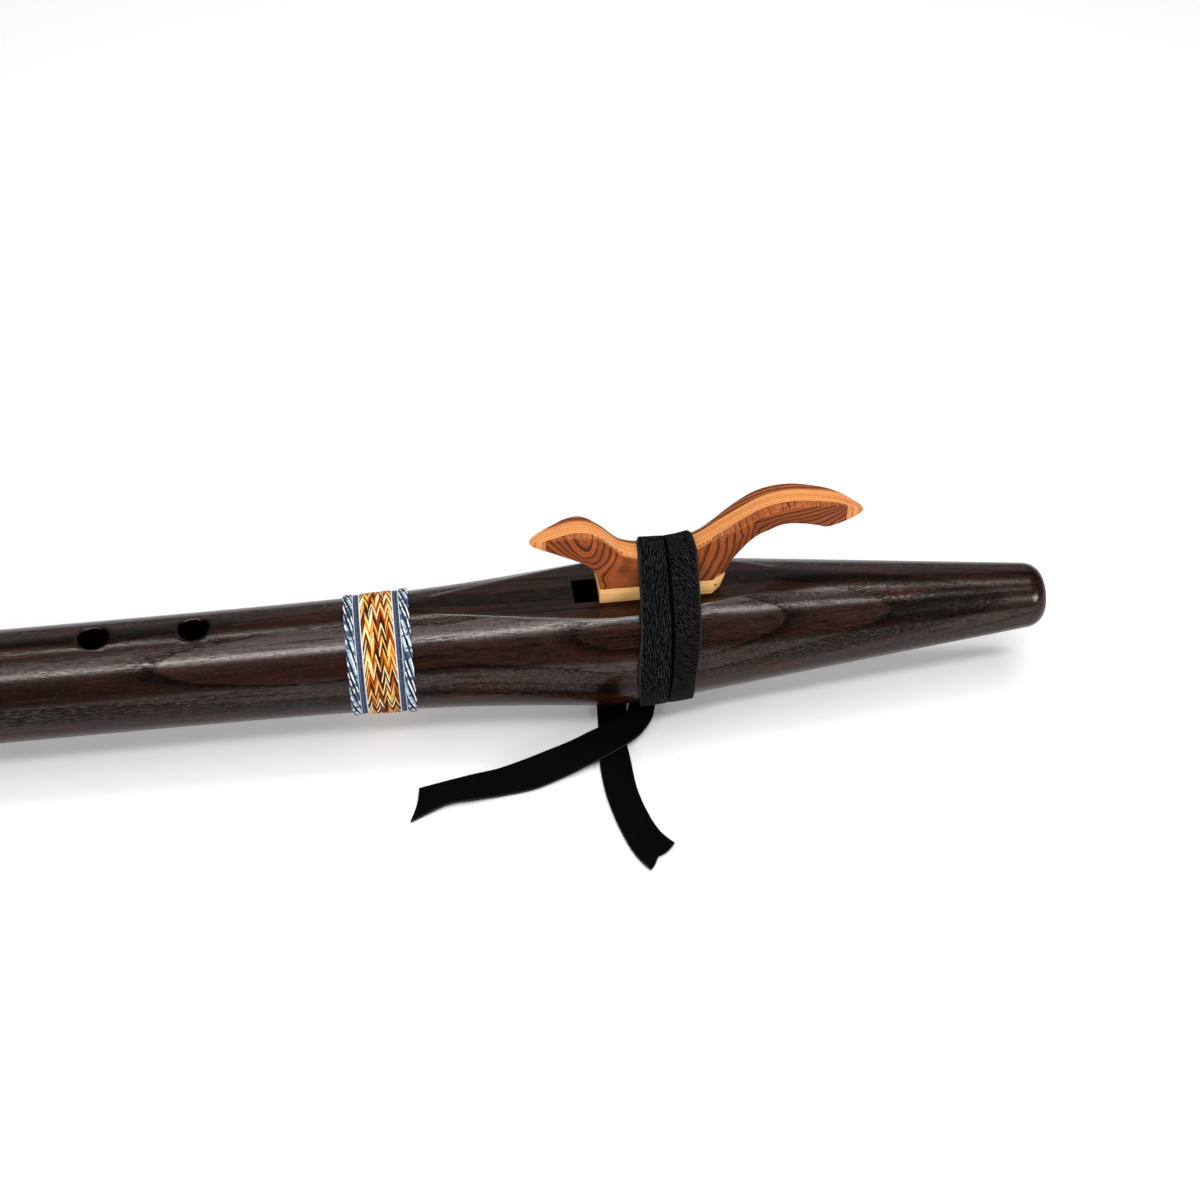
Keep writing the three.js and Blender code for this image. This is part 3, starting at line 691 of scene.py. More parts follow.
# %% Yarn
def yarn(name, tones, dye=None):
    """The attribute thread picks from the tones, from 0 to 1 in equal steps. dye is a tone, the
    scale of its patches and its strength."""
    material, tree, shader = new_material(name, tones[0])
    card = put(tree, "ShaderNodeValToRGB", {0: attribute(tree, "thread")})
    card.socket.node.color_ramp.interpolation = "CONSTANT"
    stops = card.socket.node.color_ramp.elements
    while len(stops) < len(tones):
        stops.new(1.0)
    for i, tone in enumerate(tones):
        stops[i].position = i / len(tones)
        stops[i].color = srgb(*tone)
    place = flute_place(tree)
    fuzz = noise(place, (4.5, 4.5, 4.5), 3.0)
    shade = fuzz * 1.1 + 0.45
    grey = put(tree, "ShaderNodeCombineColor", {0: shade, 1: shade, 2: shade})
    colour = put(tree, "ShaderNodeMix", {0: 1.0, 6: card, 7: grey}, 2, data_type="RGBA",
                 blend_type="MULTIPLY")
    if dye:
        dye_tone, scale, strength = dye
        patch = noise(place, (scale, scale, scale), 1.0).ramp(0.5, 0.56)
        colour = (patch * strength).blend(colour, dye_tone)
    feed(shader, {"Base Color": colour, "Roughness": fuzz * 0.2 + 0.5,
                  "Specular IOR Level": 0.12, "Normal": bump(fuzz, 0.00008, 0.6)})
    return material


NAVY, PALE_BLUE, WHITE = (20, 28, 52), (158, 194, 214), (246, 252, 255)
cord_yarn = yarn("cord_yarn", [WHITE, NAVY, PALE_BLUE, WHITE, (8, 12, 26), WHITE, PALE_BLUE,
                               NAVY, WHITE, (12, 18, 36)], ((34, 46, 84), 0.55, 0.85))
navy_yarn = yarn("navy_yarn", [(52, 62, 88), (78, 90, 118), (30, 40, 64), (62, 74, 102)],
                 ((104, 116, 140), 2.4, 0.5))
white_yarn = yarn("white_yarn", [(248, 250, 250), (236, 242, 244)])
braid_yarn = yarn("braid_yarn", [(255, 244, 190), (214, 112, 18), (50, 14, 2), (255, 200, 96),
                                 (150, 62, 8), (78, 26, 4)])

# %% [markdown]
# ## The tube
# The real tube is hollowed as two halves and glued, and so is this one. Each half is lofted from
# half sections: round below, and flat on top where the bird sits (the nest), with a slightly
# rounded edge. The air ways are then cut with booleans, as a maker cuts them with gouge and drill.
# Booleans work best on large numbers, so this is done at a thousand times the size.

# %% Stations along the tube
FOOT_ROUND, MOUTH_ROUND, MOUTH_DROP = 1.0, 6.0, 4.8


def tube_stations():
    belly = np.arange(BELLY_PLACE - 110, BELLY_PLACE + 40, 1.5)
    plain = np.arange(FOOT + 4, belly[0], 4.0)
    start = MOUTH_END - MOUTH_ROUND
    cone = np.arange(belly[-1] + 3, start - 0.5, 3.0)
    turns = np.linspace(0, np.pi / 2, 9)
    foot = [(FOOT + FOOT_ROUND * (1 - math.cos(a)), CHAMBER_RADIUS - FOOT_ROUND * (1 - math.sin(a)))
            for a in turns]
    mouth = [(start + MOUTH_ROUND * math.sin(a),
              float(outer_radius(start)) - MOUTH_DROP * (1 - math.cos(a))) for a in turns]
    return foot + [(x, float(outer_radius(x))) for x in (*plain, *belly, *cone)] + mouth


def flattened(radius, angle, soft=0.12):
    """Distance from the axis to the skin, at an angle from the top; the nest's edge is eased."""
    flat = NEST_HEIGHT / np.maximum(np.cos(angle), 0.2)
    share = np.clip(0.5 + (flat - radius) / (2 * soft), 0, 1)
    return flat * (1 - share) + radius * share - soft * share * (1 - share)


def upper_angles(radius):
    """Angles of one half section, gathered round the nest's edge."""
    edge = max(math.acos(min(NEST_HEIGHT / radius, 1)), math.radians(12))
    slack = math.radians(3.5)
    side = np.concatenate([np.linspace(0, edge - slack, 12)[:-1],
                           np.linspace(edge - slack, edge + slack, 11)[:-1],
                           np.linspace(edge + slack, np.radians(89.7), 22), [np.pi / 2]])
    return np.concatenate([-side[::-1][:-1], side])


LOWER_ANGLES = np.concatenate([[np.pi / 2], np.linspace(np.radians(90.3), np.radians(269.7), 60),
                               [1.5 * np.pi]])


# %% Bodies for the booleans
def work_piece(name, rings):
    """A closed body at a thousand times its size."""
    piece = new_piece(name, *loft(rings))
    piece.data.transform(Matrix.Scale(1000, 4))
    face_outward(piece)
    return piece


def tube_half(name, upper):
    rings = []
    for x, radius in tube_stations():
        angles = upper_angles(radius) if upper else LOWER_ANGLES
        reach = flattened(radius, angles) if upper else np.full(len(angles), radius)
        rings.append([(x, r * math.sin(a), r * math.cos(a)) for r, a in zip(reach, angles)])
    return work_piece(name, rings)


def turned_cutter(name, profile, segments=64):
    angles = np.linspace(0, 2 * np.pi, segments, endpoint=False)
    return work_piece(name, [[(x, r * math.sin(a), r * math.cos(a)) for a in angles]
                             for x, r in profile])


def pit(name, x0, x1, low, ease=0.3):
    """A square pit as wide as the flue, from low up through the nest, its rim eased."""
    half = FLUE_WIDTH / 2

    def ring(out, z):
        return [(x0 - out, -half - out, z), (x1 + out, -half - out, z),
                (x1 + out, half + out, z), (x0 - out, half + out, z)]
    return work_piece(name, [ring(0, low), ring(0, NEST_HEIGHT - ease),
                             ring(ease, NEST_HEIGHT + 0.01), ring(ease + 0.3, NEST_HEIGHT + 6)])


# %% Finger holes
def finger_hole(index, x):
    """A drilled hole whose rim is burnt and sanded round: it widens along the skin."""
    angles = np.linspace(0, 2 * np.pi, 40, endpoint=False)
    profile = [(4.2, 8.0), (4.2, 0.9), (4.25, 0.6), (4.38, 0.32), (4.6, 0.12), (4.95, 0.0),
               (5.3, -0.1), (5.3, -4.0)]
    rings = []
    for reach, depth in profile:
        skin = np.sqrt(CHAMBER_RADIUS**2 - (reach * np.sin(angles)) ** 2)
        rings.append([(x + reach * math.cos(a), reach * math.sin(a), z - depth)
                      for a, z in zip(angles, skin)])
    return work_piece(f"finger_hole_{index}", rings)


def cut(piece, cutters):
    for tool in cutters:
        step = piece.modifiers.new(tool.name, "BOOLEAN")
        step.operation = "DIFFERENCE"
        step.solver = "MANIFOLD"
        step.object = tool
    apply_modifiers(piece)


# %% Cutting the air ways
FLUE_WIDTH, SOUND_HOLE_END, BORE_RADIUS, BLOW_RADIUS = 9.2, 6.5, 11, 3.2
EXIT_HOLE, BLOW_START = (19, 26), 120
FINGER_HOLES = (-107, -134.5, -166, -196, -223.5, -255)


def slow_chamber_radius(x):
    return min(float(outer_radius(x)) - 5, NEST_HEIGHT - 3)


slow_profile = [(x, slow_chamber_radius(x)) for x in np.linspace(EXIT_HOLE[0], BLOW_START, 26)]
bores = [
    turned_cutter("sound_chamber", [(FOOT - 2, BORE_RADIUS), (SOUND_HOLE_END, BORE_RADIUS)]),
    turned_cutter("slow_chamber", slow_profile + [(BLOW_START + 7, BLOW_RADIUS)]),
    turned_cutter("blow_hole", [(BLOW_START, BLOW_RADIUS), (MOUTH_END - 0.7, BLOW_RADIUS),
                                (MOUTH_END - 0.25, 3.4), (MOUTH_END + 0.01, 3.9),
                                (MOUTH_END + 2, 4.2)], 40),
]
ways_up = [
    pit("sound_hole", 0, SOUND_HOLE_END, 9),
    pit("exit_hole", *EXIT_HOLE, 3),
    work_piece("edge_ramp", [[(0.05, y, 9), (0.05, y, 15.8), (-14, y, 9)]
                             for y in (-FLUE_WIDTH / 2, FLUE_WIDTH / 2)]),
] + [finger_hole(i, x) for i, x in enumerate(FINGER_HOLES)]

tube_upper = tube_half("tube_upper", True)
tube_lower = tube_half("tube_lower", False)
cut(tube_upper, bores + ways_up)
cut(tube_lower, bores)
for tool in bores + ways_up:
    bpy.data.objects.remove(tool)

# %% [markdown]
# The air ways are unlacquered and painted near black, a painted shade, and the nest's edge
# catches a line of light. Both are known from where a vertex lies, so they are stored as
# attributes for the tube's material.

# %% Dressing the tube
for half in (tube_upper, tube_lower):
    x, y, z = np.array([v.co for v in half.data.vertices]).T - [[FLUTE_PLACE], [0], [TABLE_DROP]]
    skin = np.where(x > MOUTH_END - MOUTH_ROUND - 0.2, 3.8,
                    outer_radius(x) - np.where(x < FOOT + 1.2, 1.4, 0.4))
    # Vertices inside the air ways: no lacquer there, and the material paints them near black as a
    # painted shade.
    set_attribute(half, "inside", (np.hypot(y, z) < skin) & (z < NEST_HEIGHT - 0.05))
    turn = np.arccos(np.minimum(NEST_HEIGHT / outer_radius(x), 1))
    from_edge = (np.arctan2(abs(y), z) - turn) / 0.035
    set_attribute(half, "arris", (turn > 0.2) * np.exp(-(from_edge ** 2)))
    half.data.transform(Matrix.Scale(0.001, 4))
    finish(half, tube_wood)

# %% [markdown]
# ## The bird
# The bird is sawn from a glued block, so its side outline is the same for all three layers, and
# it narrows in plan toward beak and tail. Its edges are sanded: a small round everywhere, a full
# quarter round where the lace crosses, and a long slanting facet under the tail.

# %% Outline of the bird
BIRD_LENGTH, BIRD_RISE, BIRD_TIP = 94.6, 23.6, 12.4
BASE_BOTTOM, BASE_THICKNESS = NEST_HEIGHT + 0.3, 5.0
BIRD_FOOT = BASE_BOTTOM + BASE_THICKNESS
beak = [(0.003, 0.612)]
head_top = [(0.006, 0.64), (0.013, 0.661), (0.026, 0.684), (0.046, 0.706), (0.078, 0.737),
            (0.105, 0.771), (0.131, 0.788), (0.157, 0.784), (0.183, 0.754), (0.209, 0.686),
            (0.225, 0.627), (0.241, 0.559), (0.257, 0.487), (0.276, 0.424), (0.297, 0.388),
            (0.32, 0.365)]
back_top = [(0.37, 0.347), (0.42, 0.348), (0.46, 0.372), (0.498, 0.432), (0.524, 0.495),
            (0.555, 0.584), (0.593, 0.69), (0.618, 0.762), (0.646, 0.835), (0.674, 0.903),
            (0.705, 0.954), (0.741, 0.987), (0.784, 1), (0.831, 0.979), (0.886, 0.942),
            (0.923, 0.898), (0.955, 0.835), (0.98, 0.777), (0.991, 0.746), (0.9965, 0.722),
            (0.9985, 0.7)]
tail_under = [(0.583, 0.047), (0.596, 0.153), (0.609, 0.25), (0.627, 0.347), (0.647, 0.453),
              (0.674, 0.555), (0.706, 0.627), (0.742, 0.7), (0.778, 0.716), (0.814, 0.699),
              (0.851, 0.661), (0.88, 0.618), (0.924, 0.625), (0.97, 0.652), (0.986, 0.668),
              (0.995, 0.682), (0.9985, 0.7)]
throat = [(0.006, 0.588), (0.013, 0.574), (0.026, 0.562), (0.08, 0.517), (0.141, 0.428),
          (0.18, 0.314), (0.196, 0.21), (0.203, 0.1)]
plan = [(0, 0.05), (0.005, 0.14), (0.018, 0.23), (0.046, 0.42), (0.072, 0.57), (0.1, 0.7),
        (0.125, 0.78), (0.152, 0.86), (0.184, 0.94), (0.215, 1), (0.6, 1), (0.66, 0.985),
        (0.745, 0.93), (0.807, 0.86), (0.849, 0.79), (0.88, 0.7), (0.915, 0.56), (0.95, 0.4),
        (0.975, 0.25), (0.99, 0.16), (1, 0.05)]


def bird_curve(shares):
    path = smooth_path(shares, 12)
    return np.column_stack([path[:, 0] * BIRD_LENGTH - BIRD_TIP,
                            BIRD_FOOT + path[:, 1] * BIRD_RISE])


top_line = bird_curve(beak + head_top + back_top)
foot_line = bird_curve([(0.2032, 0.1), (0.2034, 0)])[::4]
foot_end = bird_curve([(0.579, 0), (0.583, 0.047)])[::4]
low_line = np.vstack([bird_curve(beak + throat), foot_line, foot_end, bird_curve(tail_under)])
low_line[:, 0] = np.maximum.accumulate(low_line[:, 0])
plan_line = np.array(plan) * (BIRD_LENGTH, BIRD_HALF) - (BIRD_TIP, 0)
saddle = (0.216 * BIRD_LENGTH - BIRD_TIP, 0.51 * BIRD_LENGTH - BIRD_TIP)


def back_height(x):
    return np.interp(x, top_line[:, 0], top_line[:, 1])


def shoulder(x):
    """How far the back is rounded toward the sides: whole in the saddle, fading beyond it."""
    away = np.where(x < saddle[0], (saddle[0] - x) / 4.5, np.maximum(x - saddle[1], 0) / 8)
    return np.exp(-away**2)


# %% Carving the sides
SMALL_ROUND = 0.45
facet_edge = np.array([(38.9, 22.3), (40.2, 25.0), (41.0, 27.9), (42.3, 31.5), (44.4, 34.9),
                       (45.9, 37.3), (50.2, 41.0), (54.6, 42.7), (59.6, 43.2), (64.7, 42.6),
                       (72.0, 40.4)])


def edge_round(distance, radius):
    """How deep a quarter round of this radius cuts at a distance from the edge."""
    inside = np.clip(radius - distance, 0, radius)
    return radius - np.sqrt(radius**2 - inside**2)


def to_line(x, z, line):
    """Distance from points to a line of close points, and the nearest point's number."""
    gaps = np.hypot(x[..., None] - line[:, 0], z[..., None] - line[:, 1])
    nearest = gaps.argmin(-1)
    return np.take_along_axis(gaps, nearest[..., None], -1)[..., 0], nearest


def finely(line, step=0.12):
    travel = stretch_lengths(line)
    marks = np.arange(0, travel[-1], step)
    return np.column_stack([np.interp(marks, travel, line[:, k]) for k in (0, 1)])


fine_top, fine_low, fine_facet = finely(top_line), finely(low_line), finely(facet_edge)
top_radius = SMALL_ROUND + (BIRD_HALF - CORE_HALF - SMALL_ROUND) * shoulder(fine_top[:, 0])


def half_width(x, z):
    """Half the bird's thickness at a point of its side, with edges and facet carved."""
    half = np.interp(x, plan_line[:, 0], plan_line[:, 1])
    from_top, index = to_line(x, z, fine_top)
    from_low, _ = to_line(x, z, fine_low)
    carved = np.maximum(edge_round(from_top, np.minimum(top_radius[index], half - 0.1)),
                        edge_round(from_low, 0.3))
    beyond = (x > facet_edge[0, 0]) & (z < np.interp(x, facet_edge[:, 0], facet_edge[:, 1]))
    from_edge, _ = to_line(x, z, fine_facet)
    narrowing = np.interp(x, [39, 52, 61, 72], [2.6, 2.3, 1.3, 0])
    facet = narrowing * beyond * from_edge / (from_edge + from_low + 1e-6)
    return np.maximum(half - carved - facet, 0.02)


# %% Columns of the bird
def bird_columns(first, last):
    marks = np.concatenate([np.arange(first, last, 0.45), finely(low_line, 0.45)[:, 0],
                            finely(top_line, 0.45)[:, 0], [first, last],
                            foot_line[0, 0] + np.array([-0.02, 0.02, 0.08, 0.18, 0.32, 0.6])])
    marks = np.unique(np.round(marks[(marks >= first) & (marks <= last)], 3))
    keep = [marks[0]]
    for mark in marks[1:]:
        if mark - keep[-1] > 0.035:
            keep.append(mark)
    return np.array(keep)


def bird_rows(low, high, split):
    """Heights in a column, gathered toward both edges, with one on the facet's edge."""
    near_low = np.array([0, 0.04, 0.1, 0.18, 0.3, 0.6])
    near_high = np.array([4.0, 3.6, 3.1, 2.5, 1.9, 1.35, 0.9, 0.55, 0.3, 0.15, 0.05, 0])
    scale = min(1, (high - low) / 6.5)
    first, last = low + near_low[-1] * scale, high - near_high[0] * scale
    split = np.clip(split, first + 0.1 * (last - first), last - 0.1 * (last - first))
    middle = [np.linspace(first, split, 7)[1:], np.linspace(split, last, 8)[1:-1]]
    return np.concatenate([low + near_low * scale, *middle, high - near_high * scale])


def bird_grid(first, last, least=0.0):
    """Columns of heights over the part of the side where the bird is at least so thick."""
    columns = bird_columns(first, last)
    lows = np.interp(columns, low_line[:, 0] + np.arange(len(low_line)) * 1e-6, low_line[:, 1])
    highs = np.maximum(back_height(columns), lows + 0.05)
    if least:
        tries = np.linspace(lows, highs, 240, axis=1)
        thick = [half_width(np.full(240, x), row) >= least for x, row in zip(columns, tries)]
        lows = [row[ok.argmax()] for row, ok in zip(tries, thick)]
        highs = [row[239 - ok[::-1].argmax()] for row, ok in zip(tries, thick)]
    splits = np.interp(columns, facet_edge[:, 0], facet_edge[:, 1])
    heights = np.array([bird_rows(*edges) for edges in zip(lows, highs, splits)])
    return np.repeat(columns[:, None], heights.shape[1], 1), heights


# %% [markdown]
# ## Growth lines of the near side
# A growth line of the carved side is a few points with the same number. Between them the number
# is spread by a thin plate that bends as little as it can, like a spline ruler in two directions.

# %% Points on the growth lines
growth_marks = [
    (0.2, [(3.6, 40.1)]),
    (1.0, [(-0.5, 41.2), (2.2, 37.2), (3.8, 36.6), (5.4, 40.2)]),
    (2.0, [(-4.0, 41.8), (-0.6, 36.3), (1.7, 33.9), (4.0, 34.0), (6.8, 38.5)]),
    (3.0, [(-7.2, 41.9), (-2.9, 36.9), (2.2, 32.9), (5.0, 31.7), (7.8, 35.4)]),
    (4.0, [(-6.1, 38.2), (-0.4, 33.5), (3.1, 31.0), (6.8, 24.3), (9.8, 33.6)]),
    (5.0, [(7.8, 26.1), (8.5, 22.6)]),
    (5.5, [(12.4, 31.8), (13.6, 25.4), (18.0, 27.0)]),
    (6.0, [(32.0, 26.5), (34.5, 31.5), (35.8, 34.2), (37.4, 36.2)]),
    (7.0, [(36.5, 30.3), (37.8, 33.2), (38.6, 36.9), (39.0, 38.5)]),
    (8.0, [(39.6, 30.6), (40.3, 33.9), (40.7, 36.8), (41.2, 39.9)]),
    (9.0, [(42.6, 32.6), (42.7, 36.1), (42.8, 39.0), (43.6, 41.0)]),
    (10.0, [(44.6, 35.6), (44.8, 37.8), (45.0, 40.7), (46.0, 42.7), (47.3, 44.4)]),
    (11.0, [(47.0, 37.9), (46.5, 39.4), (46.5, 41.0), (47.1, 42.8), (48.4, 44.2)]),
    (12.0, [(48.7, 39.9), (48.3, 41.7), (48.5, 43.1), (49.7, 44.4)]),
    (13.0, [(49.7, 39.6), (52.5, 42.2), (56.9, 43.6), (62.0, 44.2), (66.8, 44.7)]),
    (14.0, [(57.0, 41.9), (62.1, 42.5), (66.9, 43.4), (72.5, 43.7)]),
    (15.0, [(61.1, 40.9), (65.0, 41.5), (69.6, 42.5), (74.0, 43.0)]),
    (16.0, [(64.6, 39.5), (68.3, 40.4), (72.1, 41.5), (75.3, 42.6)]),
    (17.0, [(68.5, 38.3), (73.4, 40.1), (76.3, 41.9)]),
    (18.0, [(71.9, 37.0), (75.9, 38.9), (77.4, 40.8)]),
    (19.0, [(74.9, 37.3), (78.1, 38.9)]),
]


def bent_plate(marks):
    points = np.array([p for _, line in marks for p in line])
    levels = np.array([level for level, line in marks for _ in line])

    def bend(a, b):
        gap = np.maximum(np.hypot(a[:, None, 0] - b[:, 0], a[:, None, 1] - b[:, 1]), 1e-6)
        return gap**2 * np.log(gap)

    flat = np.column_stack([np.ones(len(points)), points])
    system = np.block([[bend(points, points) + 0.3 * np.eye(len(points)), flat],
                       [flat.T, np.zeros((3, 3))]])
    weights = np.linalg.solve(system, np.concatenate([levels, np.zeros(3)]))

    def level(places):
        flat = np.column_stack([np.ones(len(places)), places])
        return bend(places, points) @ weights[:-3] + flat @ weights[-3:]

    return level


growth_level = bent_plate(growth_marks)
print("points on growth lines:", sum(len(line) for _, line in growth_marks))


# %% The three layers
def bird_layer(name, material, inner, outer, x, z):
    """A slab between two surfaces over the bird's side, each given as a depth at every point."""
    front = np.stack([x, outer, z], -1)
    back = np.stack([x, inner, z], -1)[:, ::-1]
    rings = np.concatenate([front, back], 1)
    layer = new_piece(name, *loft(rings))
    set_attribute(layer, "growth", growth_level(rings[..., [0, 2]].reshape(-1, 2)))
    tilt = np.gradient(outer, axis=1) / np.minimum(np.gradient(z, axis=1), 10)
    rise = np.abs(tilt) / np.hypot(1, tilt) * (z > (z[:, :1] + z[:, -1:]) / 2)
    pale, up = (np.clip((rise - low) / 0.06, 0, 1) for low in (0.91, 0.66))
    for label, share in (("shoulder", pale * shoulder(x)), ("upward", up * (1 - shoulder(x)))):
        set_attribute(layer, label, np.concatenate([share, share[:, ::-1]], 1))
    face_outward(layer)
    finish(layer, material, 40)
    return layer


side_first = float(np.interp(CORE_HALF + 0.2, plan_line[:9, 1], plan_line[:9, 0]))
side_last = float(np.interp(-CORE_HALF - 0.2, -plan_line[10:, 1], plan_line[10:, 0]))
x, z = bird_grid(side_first, side_last, CORE_HALF + 0.06)
side, glued = np.maximum(half_width(x, z), CORE_HALF + 0.05), np.full_like(x, CORE_HALF + 0.01)
bird_near = bird_layer("bird_near", near_cedar, -glued, -side, x, z)
bird_far = bird_layer("bird_far", far_cedar, glued, side, x, z)
x, z = bird_grid(-BIRD_TIP + 0.3, BIRD_LENGTH - BIRD_TIP - 0.16)
core = np.minimum(half_width(x, z), CORE_HALF)
bird_core = bird_layer("bird_core", core_cedar, core, -core, x, z)

# %% [markdown]
# ## The base plate
# A pale plate is glued under the bird. It lies flat on the nest, its rear corners are taken off
# along with the bird's, and it has a shallow channel beneath, the flue, which leads the breath to
# the cutting edge.

# %% Base plate
side_corner = [(6.7, BIRD_HALF), (38.7, BIRD_HALF)]
bird_base = work_piece("bird_base", [
    [(x, -y, z) for x, y in side_corner + [(rear, 3.6)]]
    + [(x, y, z) for x, y in [(rear, 3.6)] + side_corner[::-1]]
    for rear, z in ((41.4, BASE_BOTTOM), (42.9, BIRD_FOOT))])
flue_corners = [(y, z) for z, sides in ((15, (-1, 1)), (BASE_BOTTOM + 1.2, (1, -1)))
                for y in (side * FLUE_WIDTH / 2 for side in sides)]
flue = work_piece("flue", [[(x, y, z) for y, z in flue_corners] for x in (5, EXIT_HOLE[1])])
cut(bird_base, [flue])
bpy.data.objects.remove(flue)
bevel = bird_base.modifiers.new("bevel", "BEVEL")
bevel.width, bevel.segments, bevel.limit_method = 0.2, 2, "ANGLE"
apply_modifiers(bird_base)
bird_base.data.transform(Matrix.Scale(0.001, 4))
finish(bird_base, base_pine, 30)

# %% [markdown]
# ## The lace round tube and bird
# Soft leather pulled tight takes the shape of whatever it crosses. So a section of tube and bird is
# taken at every place along them, the shortest loop round it is drawn, and the lace is laid on
# those loops while it winds along. Its edges then follow the slope of the bird's back on their own.

# %% Loops round tube and bird
LOOP_STEP = 0.5


def girth(x):
    """Points and outward normals of the loop, from under the belly up the near side and over."""
    radius, ease = float(outer_radius(x)) + 0.38, BIRD_HALF - CORE_HALF
    round_off, centre = ease + 0.12, (CORE_HALF, float(back_height(x)) - ease)
    reach = math.hypot(*centre)
    leave = math.atan2(*centre) + math.acos((radius - round_off) / reach)
    belly, bend = np.linspace(np.pi, leave, 44), np.linspace(leave, 0, 20)
    low = radius * np.column_stack([np.sin(belly), np.cos(belly)])
    high = centre + round_off * np.column_stack([np.sin(bend), np.cos(bend)])
    free = np.linspace(low[-1], high[0], 14)[1:-1]
    angles = np.concatenate([belly, np.full(len(free), leave), bend])
    side = np.vstack([low, free, high])
    back = np.column_stack([np.linspace(-CORE_HALF, CORE_HALF, 6)[1:-1], np.full(4, high[-1, 1])])
    place = np.vstack([side * (-1, 1), back, side[::-1]])
    turn = np.concatenate([-angles, np.zeros(4), angles[::-1]])
    return place, np.column_stack([np.sin(turn), np.cos(turn)])


loop_places = np.arange(8.0, 46.1, LOOP_STEP)
loop_points, loop_normals = map(np.array, zip(*(girth(x) for x in loop_places)))
print("loops:", len(loop_places), "points in each:", loop_points.shape[1])


def on_loop(x, station):
    """Point and normal of the loop at x, between the loops that were drawn."""
    k = np.clip((x - loop_places[0]) / LOOP_STEP, 0, len(loop_places) - 1.001)
    i, w = int(k), k - int(k)
    return (row[i, station] * (1 - w) + row[i + 1, station] * w
            for row in (loop_points, loop_normals))


# %% Edges of the lace
# Along the near side from belly to back: left edge, seam between the turns, right edge.
near_shares = [0, 0.1, 0.2, 0.3, 0.4, 0.5, 0.6, 0.75, 0.9, 1]
lace_edges = [[18.5, 18.1, 17.3, 16.4, 15.7, 16.0, 17.2, 17.5, 17.7, 18.0],
              [27.3, 26.6, 25.4, 24.8, 25.2, 25.7, 26.3, 26.1, 26.0, 26.3],
              [35.8, 34.9, 33.1, 32.5, 32.5, 33.4, 34.5, 34.3, 34.4, 34.2]]
lace_edges = [smooth_path(list(zip(near_shares, edge)), 8) for edge in lace_edges]
LACE_END = 44.2


def lace_reach(turn, share):
    """Where the lace's two edges cross a loop; share is 0 at the belly, 1 on the back, then 2."""
    up = min(share, 2 - share)
    rows = [np.interp(up, edge[:, 0], edge[:, 1]) for edge in lace_edges] + [LACE_END]
    if share <= 1:
        return rows[turn] + 0.01 * turn, rows[turn + 1] - 0.01 * (1 - turn)
    top = [edge[-1, 1] for edge in lace_edges]
    belly = [edge[0, 1] for edge in lace_edges] + [LACE_END]
    past = max(share - 1.3, 0) / 0.7
    ease = 3 * past**2 - 2 * past**3
    slip = min((share - 1) / 0.15, 1) * (1 - ease)
    return tuple(top[turn + k] * (1 - ease) + belly[turn + 1 + k] * ease - slip * (turn + k - 1)
                 for k in (0, 1))


# %% Winding the lace
def wound_lace(name, turns=2):
    section = lace_section(across=16)
    stations = loop_points.shape[1]
    travel = stretch_lengths(loop_points[len(loop_places) // 2])
    rings, places, slants = [], [], []
    for turn in range(turns):
        for station in range(1 if turn else 0, stations):
            left, right = lace_reach(turn, 2 * station / (stations - 1))
            up = 1 - abs(1 - 2 * station / (stations - 1))
            slant = -turn * (0.25 + 0.5 * min(up / 0.55, 1))
            ring = []
            for u, v in section:
                x = (left + right) / 2 + u * (right - left) / 2
                point, normal = on_loop(x, station)
                out = v + LACE_THICKNESS / 2 + 0.1 * (1 - u * u)
                ring.append((x, *(point + normal * out)))
                places.append((u * LACE_WIDTH / 2, travel[station] + turn * travel[-1]))
                slants.append(slant)
            rings.append(ring)
    lace = new_piece(name, *loft(rings))
    set_uv(lace, places)
    set_attribute(lace, "slant", slants)
    # rim is 1 on the outer edges, which get a painted highlight, and -1 on the edges along the seam
    # between the turns, which get a painted shade.
    edge = np.sign(section[:, 0]) * (np.abs(section[:, 0]) > 0.92)
    set_attribute(lace, "rim", np.concatenate([np.tile(edge * side, stations - (side > 0))
                                               for side in (-1, 1)]))
    face_outward(lace)
    finish(lace, black_leather, 50)
    return lace


lace_wrap = wound_lace("lace_wrap")

# %% [markdown]
# ## The knot
# Under the belly the two ends of the lace cross, pass under a last turn and come out toward the
# player. The photograph hides the knot, so it is laid as four flat runs, one over the other, and
# its underside is what the flute stands on.

